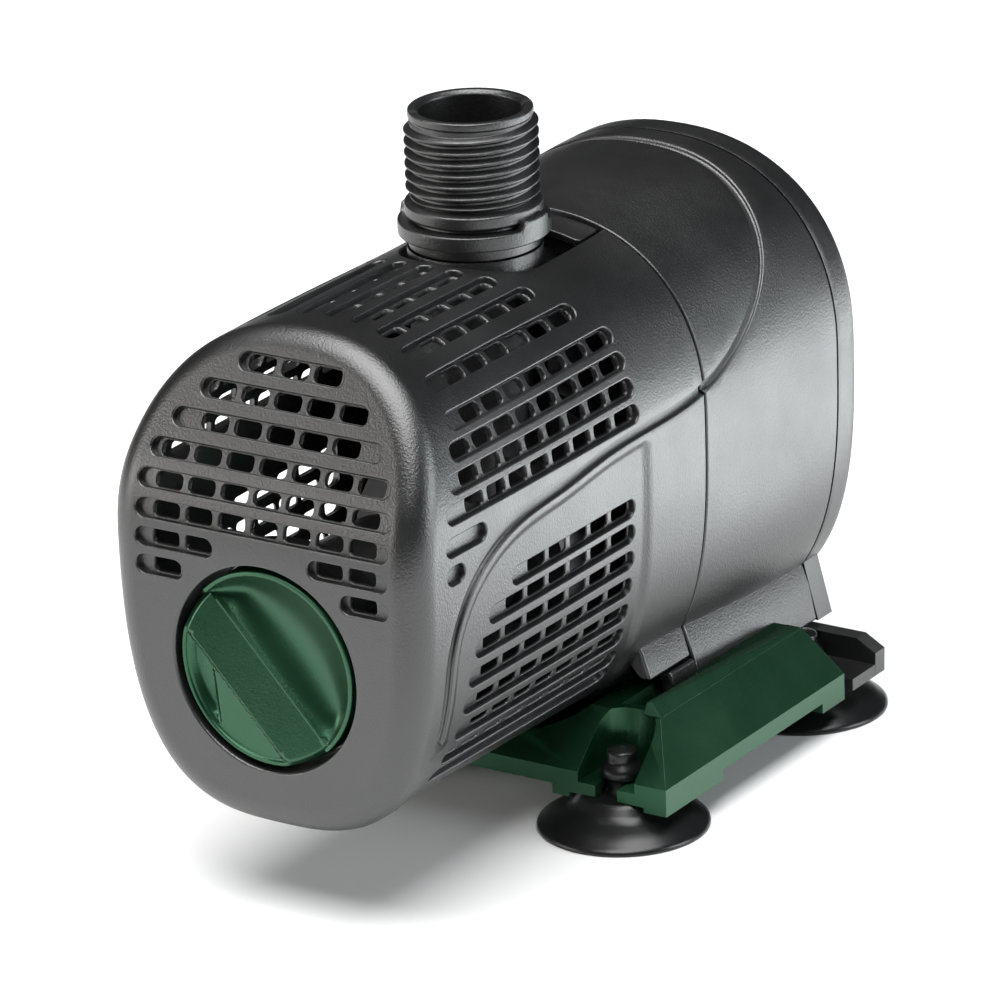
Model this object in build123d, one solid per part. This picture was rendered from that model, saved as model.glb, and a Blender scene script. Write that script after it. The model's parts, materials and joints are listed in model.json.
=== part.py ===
"""Fountain submersible pump: every piece as its own solid, one STEP file per node.

Millimetres. +Z is up and Z = 0 is the floor under the suction cups. The pump's face looks
along -Y, +X is its right-hand side seen from the front, and the origin is the centre of the
bottom of the whole pump. Distances called "s" run backwards from the flat of the face.
"""
import os
from math import cos, pi, radians, sin, tan

from build123d import *

os.makedirs("parts", exist_ok=True)

# ---------------------------------------------------------------- driving dimensions
LENGTH = 126.2            # face to the rearmost edge of the rear cups
FRONT = -LENGTH / 2       # Y of the flat of the face
AXIS_Z = 41.0             # height of the knob, impeller and rotor axis
OUTLET_S = 61.5           # outlet axis, behind the face
SEAM_S = 80.0             # joint between strainer cover and motor housing
CAP_S = 116.5             # joint between motor housing and rear cap
REAR_S = 124.2            # back of the rear cap
SEAM_GAP = 0.3

# skirt along both sides: the cover carries a short piece, the housing the rest
COVER_RAIL_S = 67.4
COVER_RAIL_Z = AXIS_Z - 21.2
LIP_S = 73.0              # the housing's skirt runs forward under the cover's to here
RAIL_TOP_Z = AXIS_Z - 17.4
RAIL_Z = AXIS_Z - 27.6
RAIL_X = 24.9             # half width where the skirt starts
RAIL_FLARE = 2.7          # how much wider it is at RAIL_Z
RAIL_T = 2.4

# body section: two half superellipses that meet at the widest height
MID_Z = AXIS_Z + 20.0
UPPER_POWER = 2.25
LOWER_POWER = 2.9
# station s, half width, rise above MID_Z, drop below MID_Z
STATIONS = [
    (0.0, 28.4, 29.9, 46.4),
    (40.0, 29.1, 29.9, 47.3),
    (SEAM_S, 29.8, 29.9, 48.2),
    (CAP_S, 32.3, 32.1, 47.6),
    (REAR_S, 32.1, 31.9, 47.4),
]
WALL = 2.1                # cover wall
HOUSING_WALL = 2.4
SLOPE_START = 24.0        # height over the axis where the face starts to lean back
SLOPE_ANGLE = 27.3
FACE_BEND_R = 30.0        # radius where the face turns from upright to leaning back
FACE_FILLET = 5.0
# steps that take the rear edge off: s, how far inside the body section
REAR_TAPER = [(CAP_S - 4.0, -2.0), (121.4, -0.25), (123.2, 0.8), (REAR_S + 0.1, 2.6)]

# strainer slots
SLOT_HEIGHT = 3.0
SLOT_DEPTH = 1.1
WINDOW = (4.6, 2.6)       # along the row, across the row
PITCH = 5.95              # window to window
TOP_PITCH = 5.0           # row to row over the top
# height over the axis, half length, windows on each side of the middle one
FACE_ROWS = [
    (44.8, 9.5, 1),
    (40.4, 15.2, 2),
    (35.9, 19.0, 2),
    (31.4, 21.7, 3),
    (26.9, 22.9, 3),
    (22.4, 22.9, 3),
]
FACE_SHORT_ROWS = [(17.9, 8.7, 22.9), (13.4, 14.4, 22.9)]   # height, inner end, outer end
SIDE_UPPER_ROWS = [38.4, 34.6, 30.5, 26.4]                  # height over the axis
SIDE_STUB_ROWS = [(21.6, 18.6), (17.1, 12.6)]               # height, rear end
SIDE_LOWER_ROWS = [(11.1, 25.9), (6.9, 19.7), (2.4, 16.3), (-2.2, 15.2),
                   (-6.7, 14.8), (-11.0, 14.2), (-15.0, 13.0), (-18.3, 12.2)]
SIDE_REAR_END = 62.0
LOWER_REAR_END = 60.6

# knob and flow regulator
HOLE_R = 16.5
KNOB_R = 15.6
GRIP_WIDTH = 6.4
GRIP_OFFSET = -4.2        # from the knob's middle to the grip's, across the grip
GRIP_ANGLE = 47.0         # the grip dips this much to the right of the pump's face
SLEEVE_R = (11.4, 13.0)
INTAKE_R = (9.0, 11.0)

# outlet: G 1/2 male thread
THREAD_CREST_R = 10.48
THREAD_ROOT_R = 9.32
THREAD_PITCH = 1.814
THREAD_TURNS = 7
OUTLET_BORE_R = 8.05
OUTLET_TOP = AXIS_Z + 71.7
FLANGE_Z = AXIS_Z + 51.7
FLANGE_R = 11.95
FLANGE_T = 2.4
COLLAR_T = 2.3            # plain collar between the thread and the flange
CUTOUT_R = 11.9

# pump chamber and rotor
CHAMBER_R = (17.5, 19.5)
IMPELLER_R = 15.5
SHAFT_R = 1.5
BORE_R = 1.55
CAN_R = (10.0, 11.2)
MAGNET_R = 9.3
SCREW_CIRCLE_R = 23.2
SCREW_R = 1.4
SCREW_END_S = 83.6
BOSS_R = 3.2
BOSS_END_S = 84.7         # screw bosses inside the housing end in front of the coils

# motor
CABLE_Z = AXIS_Z + 30.0   # cable inlet in the rear cap
CORE_S = (90.0, 108.0)
LEG_X = (9.0, 18.0)
COIL_Z = (AXIS_Z + 14.0, AXIS_Z + 30.0)
YOKE_Z = (AXIS_Z + 31.4, AXIS_Z + 39.0)
COIL_T = 4.0
BOBBIN_T = 1.0

# feet
CUP_R = 13.7
CUP_X = 27.0
CUP_FRONT_S = 56.9
CUP_REAR_S = LENGTH - CUP_R
SLED_X = 38.0
SLED_TOP_X = 32.0
SLED_S = (52.0, 107.0)
SLED_TOP_S = (60.6, 104.0)
SLED_LIP_Z = (AXIS_Z - 34.3, AXIS_Z - 31.5)
SLED_TOP_Z = AXIS_Z - 23.7
SLED_PAD_Z = AXIS_Z - 36.0
LEDGE_Z = (5.8, 7.8)      # plate that the cups' necks sit in
FOOT_END_S = 119.2
FOOT_PLATE_T = 3.0


# ---------------------------------------------------------------- helpers
def at(s):
    """Row Y of a distance behind the face."""
    return FRONT + s


def interpolate(s, column):
    """A section dimension at station s."""
    for near, far in zip(STATIONS, STATIONS[1:]):
        if s <= far[0]:
            share = (s - near[0]) / (far[0] - near[0])
            return near[column] + share * (far[column] - near[column])
    return STATIONS[-1][column]


def superellipse(half_width, height, power, sign):
    """Points of a half superellipse, from +X to -X, above (sign 1) or below (-1) MID_Z."""
    points = [(half_width, MID_Z)]
    steps = 24
    for i in range(1, steps):
        t = pi * i / steps
        x = half_width * abs(cos(t)) ** (2 / power) * (1 if cos(t) > 0 else -1)
        z = height * sin(t) ** (2 / power)
        points.append((x, MID_Z + sign * z))
    return points + [(-half_width, MID_Z)]


def section_plane(s):
    """Plane across the body at s: local x is X, local y is Z."""
    return Plane(origin=(0, at(s), 0), x_dir=(1, 0, 0), z_dir=(0, -1, 0))


def section(s, inset):
    half_width = interpolate(s, 1) - inset
    upper = superellipse(half_width, interpolate(s, 2) - inset, UPPER_POWER, 1)
    lower = superellipse(half_width, interpolate(s, 3) - inset, LOWER_POWER, -1)
    over = Spline(*upper, tangents=[(0, 1), (0, -1)])
    under = Spline(*lower, tangents=[(0, -1), (0, 1)])
    return section_plane(s) * make_face([over, under])


def face_s(z):
    """How far behind the flat of the face its surface lies at height z."""
    return max(0.0, z - AXIS_Z - SLOPE_START) * tan(radians(SLOPE_ANGLE))


def front_keep(inset):
    """Everything behind the face surface moved in by inset."""
    top = AXIS_Z + 80
    bend = AXIS_Z + SLOPE_START
    outline = Polyline(
        (at(inset), -10),
        (at(inset), bend),
        (at(inset + (top - bend) * tan(radians(SLOPE_ANGLE))), top),
        (at(200), top),
        (at(200), -10),
        close=True,
    )
    profile = make_face(outline)
    corner = profile.vertices().sort_by_distance((at(inset), bend))[0]
    profile = fillet([corner], FACE_BEND_R)
    return extrude(Plane.YZ * profile, amount=60, both=True)


def on_face_rim(edge, inset):
    """True for the edges between the face and the sides."""
    middle = edge @ 0.5
    bend_reach = FACE_BEND_R * tan(radians(SLOPE_ANGLE / 2))
    across = abs(middle.X) < 1 and abs(middle.Z - AXIS_Z - SLOPE_START) < bend_reach + 1
    return abs(middle.Y - at(inset + face_s(middle.Z))) < 1.0 and not across


def envelope(inset, start, end):
    """The body's outer shape moved in by inset, between two stations."""
    solid = loft([section(s, inset) for s, *rest in STATIONS])
    if start <= 0:
        solid = solid & front_keep(inset)
        rim = [edge for edge in solid.edges() if on_face_rim(edge, inset)]
        solid = fillet(rim, FACE_FILLET - inset)
    low = at(start) if start > 0 else at(-5)
    slab = Pos(0, (low + at(end)) / 2, 60) * Box(90, at(end) - low, 200)
    return solid & slab


def surface_point(s, x=None, z=None):
    """Point on the outer surface at s, from its X (over the top) or its Z (on the side)."""
    half_width = interpolate(s, 1)
    if z is None:
        rise = interpolate(s, 2)
        return Vector(x, at(s), MID_Z + rise * (1 - (abs(x) / half_width) ** UPPER_POWER) ** (1 / UPPER_POWER))
    power = UPPER_POWER if z > MID_Z else LOWER_POWER
    height = interpolate(s, 2 if z > MID_Z else 3)
    return Vector(half_width * (1 - (abs(z - MID_Z) / height) ** power) ** (1 / power), at(s), z)


def surface_normal(point, s):
    """Outward normal of the section at a point."""
    power = UPPER_POWER if point.Z > MID_Z else LOWER_POWER
    half_width = interpolate(s, 1)
    height = interpolate(s, 2 if point.Z > MID_Z else 3)
    nx = (abs(point.X) / half_width) ** (power - 1) / half_width * (1 if point.X >= 0 else -1)
    nz = (abs(point.Z - MID_Z) / height) ** (power - 1) / height * (1 if point.Z > MID_Z else -1)
    return Vector(nx, 0, nz).normalized()


def cylinder_y(radius, s0, s1, x=0.0, z=AXIS_Z):
    """Cylinder along Y between two stations."""
    return Pos(x, at((s0 + s1) / 2), z) * Rot(90, 0, 0) * Cylinder(radius, s1 - s0)


def ring_y(inner, outer, s0, s1, x=0.0, z=AXIS_Z):
    return cylinder_y(outer, s0, s1, x, z) - cylinder_y(inner, s0 - 1, s1 + 1, x, z)


def cylinder_z(radius, z0, z1, x=0.0, s=OUTLET_S):
    return Pos(x, at(s), (z0 + z1) / 2) * Cylinder(radius, z1 - z0)


def block(x0, x1, s0, s1, z0, z1):
    return Pos((x0 + x1) / 2, at((s0 + s1) / 2), (z0 + z1) / 2) * Box(x1 - x0, s1 - s0, z1 - z0)


def prism_y(outline, s0, s1):
    """Closed X-Z outline extruded backwards from s0 to s1."""
    return extrude(section_plane(s0) * make_face(Polyline(*outline, close=True)), amount=s0 - s1)


def save(shape, node):
    shape.label = node
    export_step(shape, f"parts/{node}.step")


# ---------------------------------------------------------------- strainer cover
def row_cutters(start, end, normal, window_centres):
    """One strainer row: a shallow round-ended slot, and the windows in its floor."""
    along = end - start
    middle = (start + end) * 0.5
    plane = Plane(origin=middle, x_dir=along.normalized(), z_dir=normal)
    slot = plane * Pos(0, 0, -SLOT_DEPTH) * extrude(SlotOverall(along.length, SLOT_HEIGHT), amount=5)
    cutters = [slot]
    for centre in window_centres:
        hole = extrude(RectangleRounded(*WINDOW, 1.0), amount=5)
        cutters.append(plane * Pos(centre, 0, -4.5) * hole)
    return cutters


def window_centres(length, from_end=0.45):
    """Window places along a row, counted from its rear end."""
    count = int((length - 2 * from_end + PITCH - WINDOW[0]) / PITCH)
    first = length / 2 - from_end - WINDOW[0] / 2
    return [first - i * PITCH for i in range(count)]


def face_cutters():
    cutters = []
    lean = Vector(0, -cos(radians(SLOPE_ANGLE)), sin(radians(SLOPE_ANGLE)))
    for height, half, last in FACE_ROWS:
        z = AXIS_Z + height
        normal = lean if height > SLOPE_START + 1 else Vector(0, -1, 0)
        centres = [i * PITCH for i in range(-last, last + 1)]
        start = Vector(-half, at(face_s(z)), z)
        end = Vector(half, at(face_s(z)), z)
        cutters += row_cutters(start, end, normal, centres)
    for height, inner, outer in FACE_SHORT_ROWS:
        z = AXIS_Z + height
        count = int((outer - inner) / PITCH)
        for side in (-1, 1):
            start = Vector(min(side * inner, side * outer), at(0), z)
            end = Vector(max(side * inner, side * outer), at(0), z)
            middle = (start.X + end.X) / 2
            centres = [side * (3 - i) * PITCH - middle for i in range(count)]
            cutters += row_cutters(start, end, Vector(0, -1, 0), centres)
    return cutters


def side_cutters():
    cutters = []
    rows = [(z, 7 + 1.25 * face_s(AXIS_Z + z), SIDE_REAR_END, True) for z in SIDE_UPPER_ROWS]
    rows += [(z, 8.0, rear, False) for z, rear in SIDE_STUB_ROWS]
    rows += [(z, front, LOWER_REAR_END, True) for z, front in SIDE_LOWER_ROWS]
    for height, front, rear, open_row in rows:
        z = AXIS_Z + height
        start = surface_point(front, z=z)
        end = surface_point(rear, z=z)
        normal = surface_normal(start, front)
        centres = window_centres((end - start).length) if open_row else []
        for side in (-1, 1):
            flip = Vector(side, 1, 1)
            a = Vector(start.X * flip.X, start.Y, start.Z)
            b = Vector(end.X * flip.X, end.Y, end.Z)
            n = Vector(normal.X * flip.X, normal.Y, normal.Z)
            cutters += row_cutters(a, b, n, centres)
    return cutters


def top_cutters():
    cutters = []
    for i in range(-4, 5):
        x = i * TOP_PITCH
        front = 21.3 - 0.009 * x * x
        rear = OUTLET_S - 13.1 + 0.0235 * x * x
        start = surface_point(front, x=x)
        end = surface_point(rear, x=x)
        normal = surface_normal(start, front)
        cutters += row_cutters(start, end, normal, window_centres((end - start).length))
    return cutters


def foot_rail(s0, s1, bottom=RAIL_Z):
    """Flared skirt along the bottom of both sides of the body, left then right."""
    share = (RAIL_TOP_Z - bottom) / (RAIL_TOP_Z - RAIL_Z)
    foot_x = RAIL_X + RAIL_FLARE * share ** 0.7
    outline = [
        (RAIL_X - 2.9, RAIL_TOP_Z + 5.4),
        (RAIL_X, RAIL_TOP_Z),
        (foot_x, bottom),
        (foot_x - RAIL_T, bottom),
        (RAIL_X - 4.9, RAIL_TOP_Z + 0.4),
    ]
    return [prism_y([(side * x, z) for x, z in outline], s0, s1) for side in (-1, 1)]


def strainer_cover():
    shell = envelope(0, 0, SEAM_S - SEAM_GAP / 2)
    cavity = envelope(WALL, 0, SEAM_S + 1)
    for rail in foot_rail(COVER_RAIL_S, SEAM_S - SEAM_GAP / 2, COVER_RAIL_Z):
        shell += rail
    shell -= cavity
    shell += ring_y(HOLE_R, HOLE_R + 1.6, 0.8, 11.0)
    shell -= cylinder_y(HOLE_R, -2, 12)
    neck = cylinder_z(CUTOUT_R, MID_Z, MID_Z + 60)
    path = block(-CUTOUT_R, CUTOUT_R, OUTLET_S, SEAM_S + 1, MID_Z + 5, MID_Z + 60)
    shell = shell - neck - path
    return shell.cut(*face_cutters(), *side_cutters(), *top_cutters())


# ---------------------------------------------------------------- knob and flow regulator
def flow_knob():
    """Disc with a grip bar across it: the finger pockets leave a thin rim."""
    knob = cylinder_y(KNOB_R, 0.3, 10.0)
    pockets = cylinder_y(KNOB_R - 1.2, -1, 5.0)
    bar = Pos(0, at(2), GRIP_OFFSET) * Box(60, 10, GRIP_WIDTH)
    bar = Pos(0, 0, AXIS_Z) * Rot(0, GRIP_ANGLE, 0) * bar
    knob -= pockets - bar
    knob += ring_y(12.0, SLEEVE_R[1] - 0.1, 9.0, 11.0)
    knob -= ring_y(14.6, KNOB_R + 1, 8.2, 9.4)
    return knob


def knob_clip():
    """Spring ring in the knob's groove: it holds the knob in the cover from behind."""
    ring = ring_y(14.65, 16.2, 8.3, 9.3)
    gap = block(-4, 4, 7, 11, AXIS_Z + 8, AXIS_Z + 20)
    return ring - gap


def regulator_sleeve():
    """Sleeve with two ports, turned by the knob around the intake tube."""
    sleeve = ring_y(SLEEVE_R[0], SLEEVE_R[1], 11.0, 36.0)
    sleeve += ring_y(SLEEVE_R[0], 11.9, 10.0, 11.0)
    port = block(-30, 30, 20, 32, AXIS_Z - 7.5, AXIS_Z + 7.5)
    return sleeve - port


# ---------------------------------------------------------------- pump chamber
def ear_places():
    angles = (40, 140, 220, 320)
    return [(SCREW_CIRCLE_R * cos(radians(a)), AXIS_Z + SCREW_CIRCLE_R * sin(radians(a))) for a in angles]


def pump_chamber():
    """Volute: intake tube in front, round chamber, outlet boss on top, flange behind."""
    inner, outer = CHAMBER_R
    body = cylinder_y(outer, 53.8, 78.8)
    body += cylinder_y(outer + 2.2, 75.8, 78.8)
    for x, z in ear_places():
        body += cylinder_y(3.4, 74.8, 78.8, x, z)
        body += block(min(x * 0.8, x), max(x * 0.8, x), 75.8, 78.8, min(z, AXIS_Z + (z - AXIS_Z) * 0.8),
                      max(z, AXIS_Z + (z - AXIS_Z) * 0.8))
    body += cylinder_z(10.6, AXIS_Z + 8, AXIS_Z + 49.6)
    body += cylinder_y(INTAKE_R[1], 14.0, 55.0)
    body -= cylinder_y(inner, 55.8, 80)
    body -= cylinder_y(INTAKE_R[0], 16.0, 57)
    body -= cylinder_z(7.0, AXIS_Z + 5, AXIS_Z + 60)
    body -= cylinder_z(8.75, AXIS_Z + 40, AXIS_Z + 60)
    body -= block(-30, 30, 21, 31, AXIS_Z - 6.5, AXIS_Z + 6.5)
    body -= ring_y(18.55, 20.05, 77.4, 80)
    for x, z in ear_places():
        body -= cylinder_y(1.75, 70, 80, x, z)
    arms = block(-9.5, 9.5, 53.8, 55.8, AXIS_Z - 1.2, AXIS_Z + 1.2)
    arms += block(-1.2, 1.2, 53.8, 55.8, AXIS_Z - 9.5, AXIS_Z + 9.5)
    hub = cylinder_y(4.6, 51.8, 56.6)
    return body + arms + hub - cylinder_y(3.0, 52.8, 58)


def chamber_backplate():
    """Loose disc behind the impeller that closes the chamber."""
    return ring_y(6.8, CHAMBER_R[0] - 0.1, 68.6, 70.2) + ring_y(CHAMBER_R[0] - 1.6, CHAMBER_R[0] - 0.1, 70.2, 77.0)


def torus_y(major, minor, s):
    return Pos(0, at(s), AXIS_Z) * Rot(90, 0, 0) * Torus(major, minor)


def chamber_o_ring():
    return torus_y(19.3, 0.7, 78.1)


def chamber_screws():
    """Four pan-head screws through the chamber's ears into the housing."""
    screws = []
    for x, z in ear_places():
        head = cylinder_y(2.8, 72.8, 74.8, x, z)
        recess = block(x - 2.0, x + 2.0, 72.5, 73.6, z - 0.4, z + 0.4)
        recess += block(x - 0.4, x + 0.4, 72.5, 73.6, z - 2.0, z + 2.0)
        screws.append(head - recess + cylinder_y(SCREW_R, 74.8, SCREW_END_S, x, z))
    return Compound(screws)


def front_bush():
    return ring_y(BORE_R, 3.0, 52.8, 57.0)


def rear_bush():
    return ring_y(BORE_R, 4.5, 108.4, 111.0)


def rotor_shaft():
    """Fixed ceramic pin that the rotor runs on."""
    return cylinder_y(SHAFT_R, 53.0, 110.8)


def thrust_washer(s):
    return ring_y(BORE_R, 2.8, s, s + 0.6)


def impeller():
    """Hub, back disc and six swept blades."""
    wheel = ring_y(BORE_R, 4.6, 58.2, 66.5)
    wheel += ring_y(BORE_R, IMPELLER_R, 66.5, 67.8)
    wheel += ring_y(BORE_R, 6.2, 67.8, 82.6)
    for i in range(6):
        blade = Pos((4.0 + IMPELLER_R - 0.4) / 2, 0, 0) * Rot(0, 0, 12) * Box(IMPELLER_R - 5.0, 1.3, 8.4)
        turn = Pos(0, at(62.4), AXIS_Z) * Rot(90, 0, 0) * Rot(0, 0, 60 * i)
        wheel += turn * blade
    wheel -= cylinder_y(BORE_R, 55, 85)
    return wheel & cylinder_y(IMPELLER_R, 58.2, 82.6)


def magnet_rotor():
    """Ferrite cylinder with a thin moulded skin, driven with the impeller."""
    magnet = ring_y(BORE_R, MAGNET_R, 82.6, 107.2)
    edges = magnet.edges().filter_by(GeomType.CIRCLE)
    outer = [edge for edge in edges if edge.radius > 5]
    return chamfer(outer, 0.6)


# ---------------------------------------------------------------- outlet
def outlet_fitting():
    """Screw-thread tail with a lugged flange and an O-ring spigot."""
    top = OUTLET_TOP
    tail = cylinder_z(9.55, FLANGE_Z, top)
    thread_top = top - 1.6
    half = THREAD_PITCH / 2
    outline = [(9.0, thread_top)]
    for i in range(THREAD_TURNS):
        z = thread_top - i * THREAD_PITCH
        outline += [(THREAD_ROOT_R, z), (THREAD_CREST_R, z - half + 0.2), (THREAD_CREST_R, z - half - 0.2)]
    bottom = thread_top - THREAD_TURNS * THREAD_PITCH
    outline += [(THREAD_ROOT_R, bottom), (9.0, bottom)]
    profile = Plane.XZ * make_face(Polyline(*outline, close=True))
    tail += Pos(0, at(OUTLET_S), 0) * revolve(profile, Axis.Z)
    tail += cylinder_z(10.8, bottom - COLLAR_T, bottom)
    tail += cylinder_z(FLANGE_R, FLANGE_Z, FLANGE_Z + FLANGE_T)
    lug_zone = block(-20, 20, OUTLET_S - 3.2, OUTLET_S + 3.2, FLANGE_Z, FLANGE_Z + FLANGE_T + 1.4)
    tail += cylinder_z(FLANGE_R, FLANGE_Z, FLANGE_Z + FLANGE_T + 1.4) & lug_zone
    tail += cylinder_z(10.3, AXIS_Z + 49.9, FLANGE_Z)
    tail += cylinder_z(8.6, AXIS_Z + 40.4, AXIS_Z + 50)
    tail -= cylinder_z(12, AXIS_Z + 42.6, AXIS_Z + 44.6) - cylinder_z(7.35, AXIS_Z + 40, AXIS_Z + 50)
    tail -= cylinder_z(6.4, AXIS_Z + 40, top + 1)
    return tail - cylinder_z(OUTLET_BORE_R, FLANGE_Z, top + 1)


def outlet_o_ring():
    return Pos(0, at(OUTLET_S), AXIS_Z + 43.6) * Torus(8.03, 0.66)


# ---------------------------------------------------------------- motor housing
def motor_housing():
    """Shell behind the cover, with the bulkhead, the spigot for the cover and the foot rails."""
    start = SEAM_S + SEAM_GAP / 2
    end = CAP_S - 0.1
    shell = envelope(0, start, end)
    for rail in foot_rail(start, end):
        shell += rail
    under_cover = block(-30, 30, LIP_S, start + 1, RAIL_Z, COVER_RAIL_Z - 0.4) - envelope(-0.4, 60, start)
    for rail in foot_rail(LIP_S, start + 1):
        shell += rail & under_cover
    shell += envelope(WALL + 0.4, 75.2, start + 1)
    shell -= envelope(WALL + 2.2, 74.0, 79.0)
    shell -= envelope(HOUSING_WALL, 82.0, CAP_S + 1)
    shell -= cylinder_y(CAN_R[1] + 0.05, 70, 90)
    for x, z in ear_places():
        shell -= cylinder_y(4.0, 70, 79.0, x, z)
        shell += cylinder_y(BOSS_R, 79.5, BOSS_END_S, x, z)
        shell -= cylinder_y(SCREW_R, 78, SCREW_END_S, x, z)
    tongue = envelope(0.9, 74.6, start + 1) & block(-11.2, 11.2, 74.6, start + 1, MID_Z + 20, MID_Z + 60)
    shell += tongue
    flange = block(-7, 7, 84, 104, AXIS_Z - 33.2, AXIS_Z - 31.6)
    neck = block(-4, 4, 84, 104, AXIS_Z - 32, AXIS_Z - 27.9)
    return shell + flange + neck


def rotor_can():
    """Closed-end sleeve that keeps the wet rotor apart from the sealed coils."""
    can = cylinder_y(CAN_R[1], 79.0, 113.4) - cylinder_y(CAN_R[0], 78, 111.6)
    seat = ring_y(4.5, 6.5, 108.6, 111.6)
    return can + seat


def stator_core():
    """Laminated U: two legs rise from the poles around the rotor to a yoke."""
    s0, s1 = CORE_S
    inner, outer = LEG_X
    gap = CAN_R[1] + 0.1
    poles = block(-21, 21, s0, s1, AXIS_Z - 13, AXIS_Z + 12.6)
    poles -= cylinder_y(gap, s0 - 1, s1 + 1)
    poles -= block(-1.6, 1.6, s0 - 1, s1 + 1, AXIS_Z - 14, AXIS_Z + 13)
    core = poles
    for side in (-1, 1):
        core += block(min(side * inner, side * outer), max(side * inner, side * outer), s0, s1,
                      AXIS_Z + 12, YOKE_Z[1])
    return core + block(-outer, outer, s0, s1, *YOKE_Z)


def around_leg(side, grow_in, grow_out, z0, z1):
    """Rectangular tube around one leg of the core."""
    s0, s1 = CORE_S
    centre = side * (LEG_X[0] + LEG_X[1]) / 2
    half = (LEG_X[1] - LEG_X[0]) / 2
    outer = block(centre - half - grow_out, centre + half + grow_out, s0 - grow_out, s1 + grow_out, z0, z1)
    inner = block(centre - half - grow_in, centre + half + grow_in, s0 - grow_in, s1 + grow_in, z0 - 1, z1 + 1)
    return outer - inner


def coil_bobbin(side):
    z0, z1 = COIL_Z
    tube = around_leg(side, 0, BOBBIN_T, z0 - 1, z1 + 1)
    low = around_leg(side, 0, BOBBIN_T + COIL_T, z0 - 1, z0)
    return tube + low + around_leg(side, 0, BOBBIN_T + COIL_T, z1, z1 + 1)


def coil_winding(side):
    winding = around_leg(side, BOBBIN_T, BOBBIN_T + COIL_T - 0.4, *COIL_Z)
    corners = winding.edges().filter_by(Axis.Z)
    centre = Vector(side * (LEG_X[0] + LEG_X[1]) / 2, at(sum(CORE_S) / 2), 0)
    far = sorted(corners, key=lambda edge: -(Vector((edge @ 0.5).X, (edge @ 0.5).Y, 0) - centre).length)[:4]
    return fillet(far, 2.5)


def resin_potting():
    """Solid resin that fills the housing around the coils."""
    fill = envelope(HOUSING_WALL, 82.0, 112.0)
    for x, z in ear_places():
        fill -= cylinder_y(BOSS_R, 80, BOSS_END_S, x, z)
    fill -= cylinder_y(CAN_R[1], 80, 113)
    fill -= stator_core()
    for side in (-1, 1):
        z0, z1 = COIL_Z
        grow = BOBBIN_T + COIL_T
        s0, s1 = CORE_S
        centre = side * (LEG_X[0] + LEG_X[1]) / 2
        half = (LEG_X[1] - LEG_X[0]) / 2
        fill -= block(centre - half - grow, centre + half + grow, s0 - grow, s1 + grow, z0 - 1, z1 + 1)
    return fill


def rear_taper():
    """Tool that is wider than the body except at the back, where it takes the edge off in steps."""
    return loft([section(s, inset) for s, inset in REAR_TAPER], ruled=True)


def rear_cap():
    """Back shell with a spigot into the housing, rail ends and the cable inlet."""
    start = CAP_S + 0.1
    cap = envelope(0, start, REAR_S) & rear_taper()
    for rail in foot_rail(start, 121.0):
        cap += rail
    cap -= envelope(HOUSING_WALL + 1.9, start - 1, REAR_S - 2.6)
    cap += envelope(HOUSING_WALL + 0.1, 112.6, start + 1) - envelope(HOUSING_WALL + 1.9, 112.0, start + 2)
    return cap - cylinder_y(4.6, 118, 130, 0, CABLE_Z)


def cable_gland():
    """Rubber bush where the cable would enter."""
    gland = cylinder_y(4.5, 119.8, 124.4, 0, CABLE_Z)
    gland += cylinder_y(6.2, REAR_S + 0.05, 126.0, 0, CABLE_Z)
    gland += cylinder_y(5.6, 120.0, REAR_S - 2.65, 0, CABLE_Z)
    return gland - cylinder_y(3.2, 118, 128, 0, CABLE_Z)


# ---------------------------------------------------------------- sled and feet
def frustum(low, high, grow):
    """Four-sided block between two rectangles (half x, s0, s1, z), moved in by grow."""
    faces = []
    for half_x, s0, s1, z in (low, high):
        plane = Plane(origin=(0, at((s0 + s1) / 2), z))
        faces.append(plane * Rectangle(2 * (half_x - grow), s1 - s0 - 2 * grow))
    return loft(faces, ruled=True)


def keyhole(x, s, direction):
    """Slot that a cup's neck slides into, open towards one end of the pump."""
    reach = s + direction * 20
    slot = block(x - 2.0, x + 2.0, min(s, reach), max(s, reach), LEDGE_Z[0] - 1, LEDGE_Z[1] + 1)
    return cylinder_z(2.65, LEDGE_Z[0] - 1, LEDGE_Z[1] + 1, x, s) + slot


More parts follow.
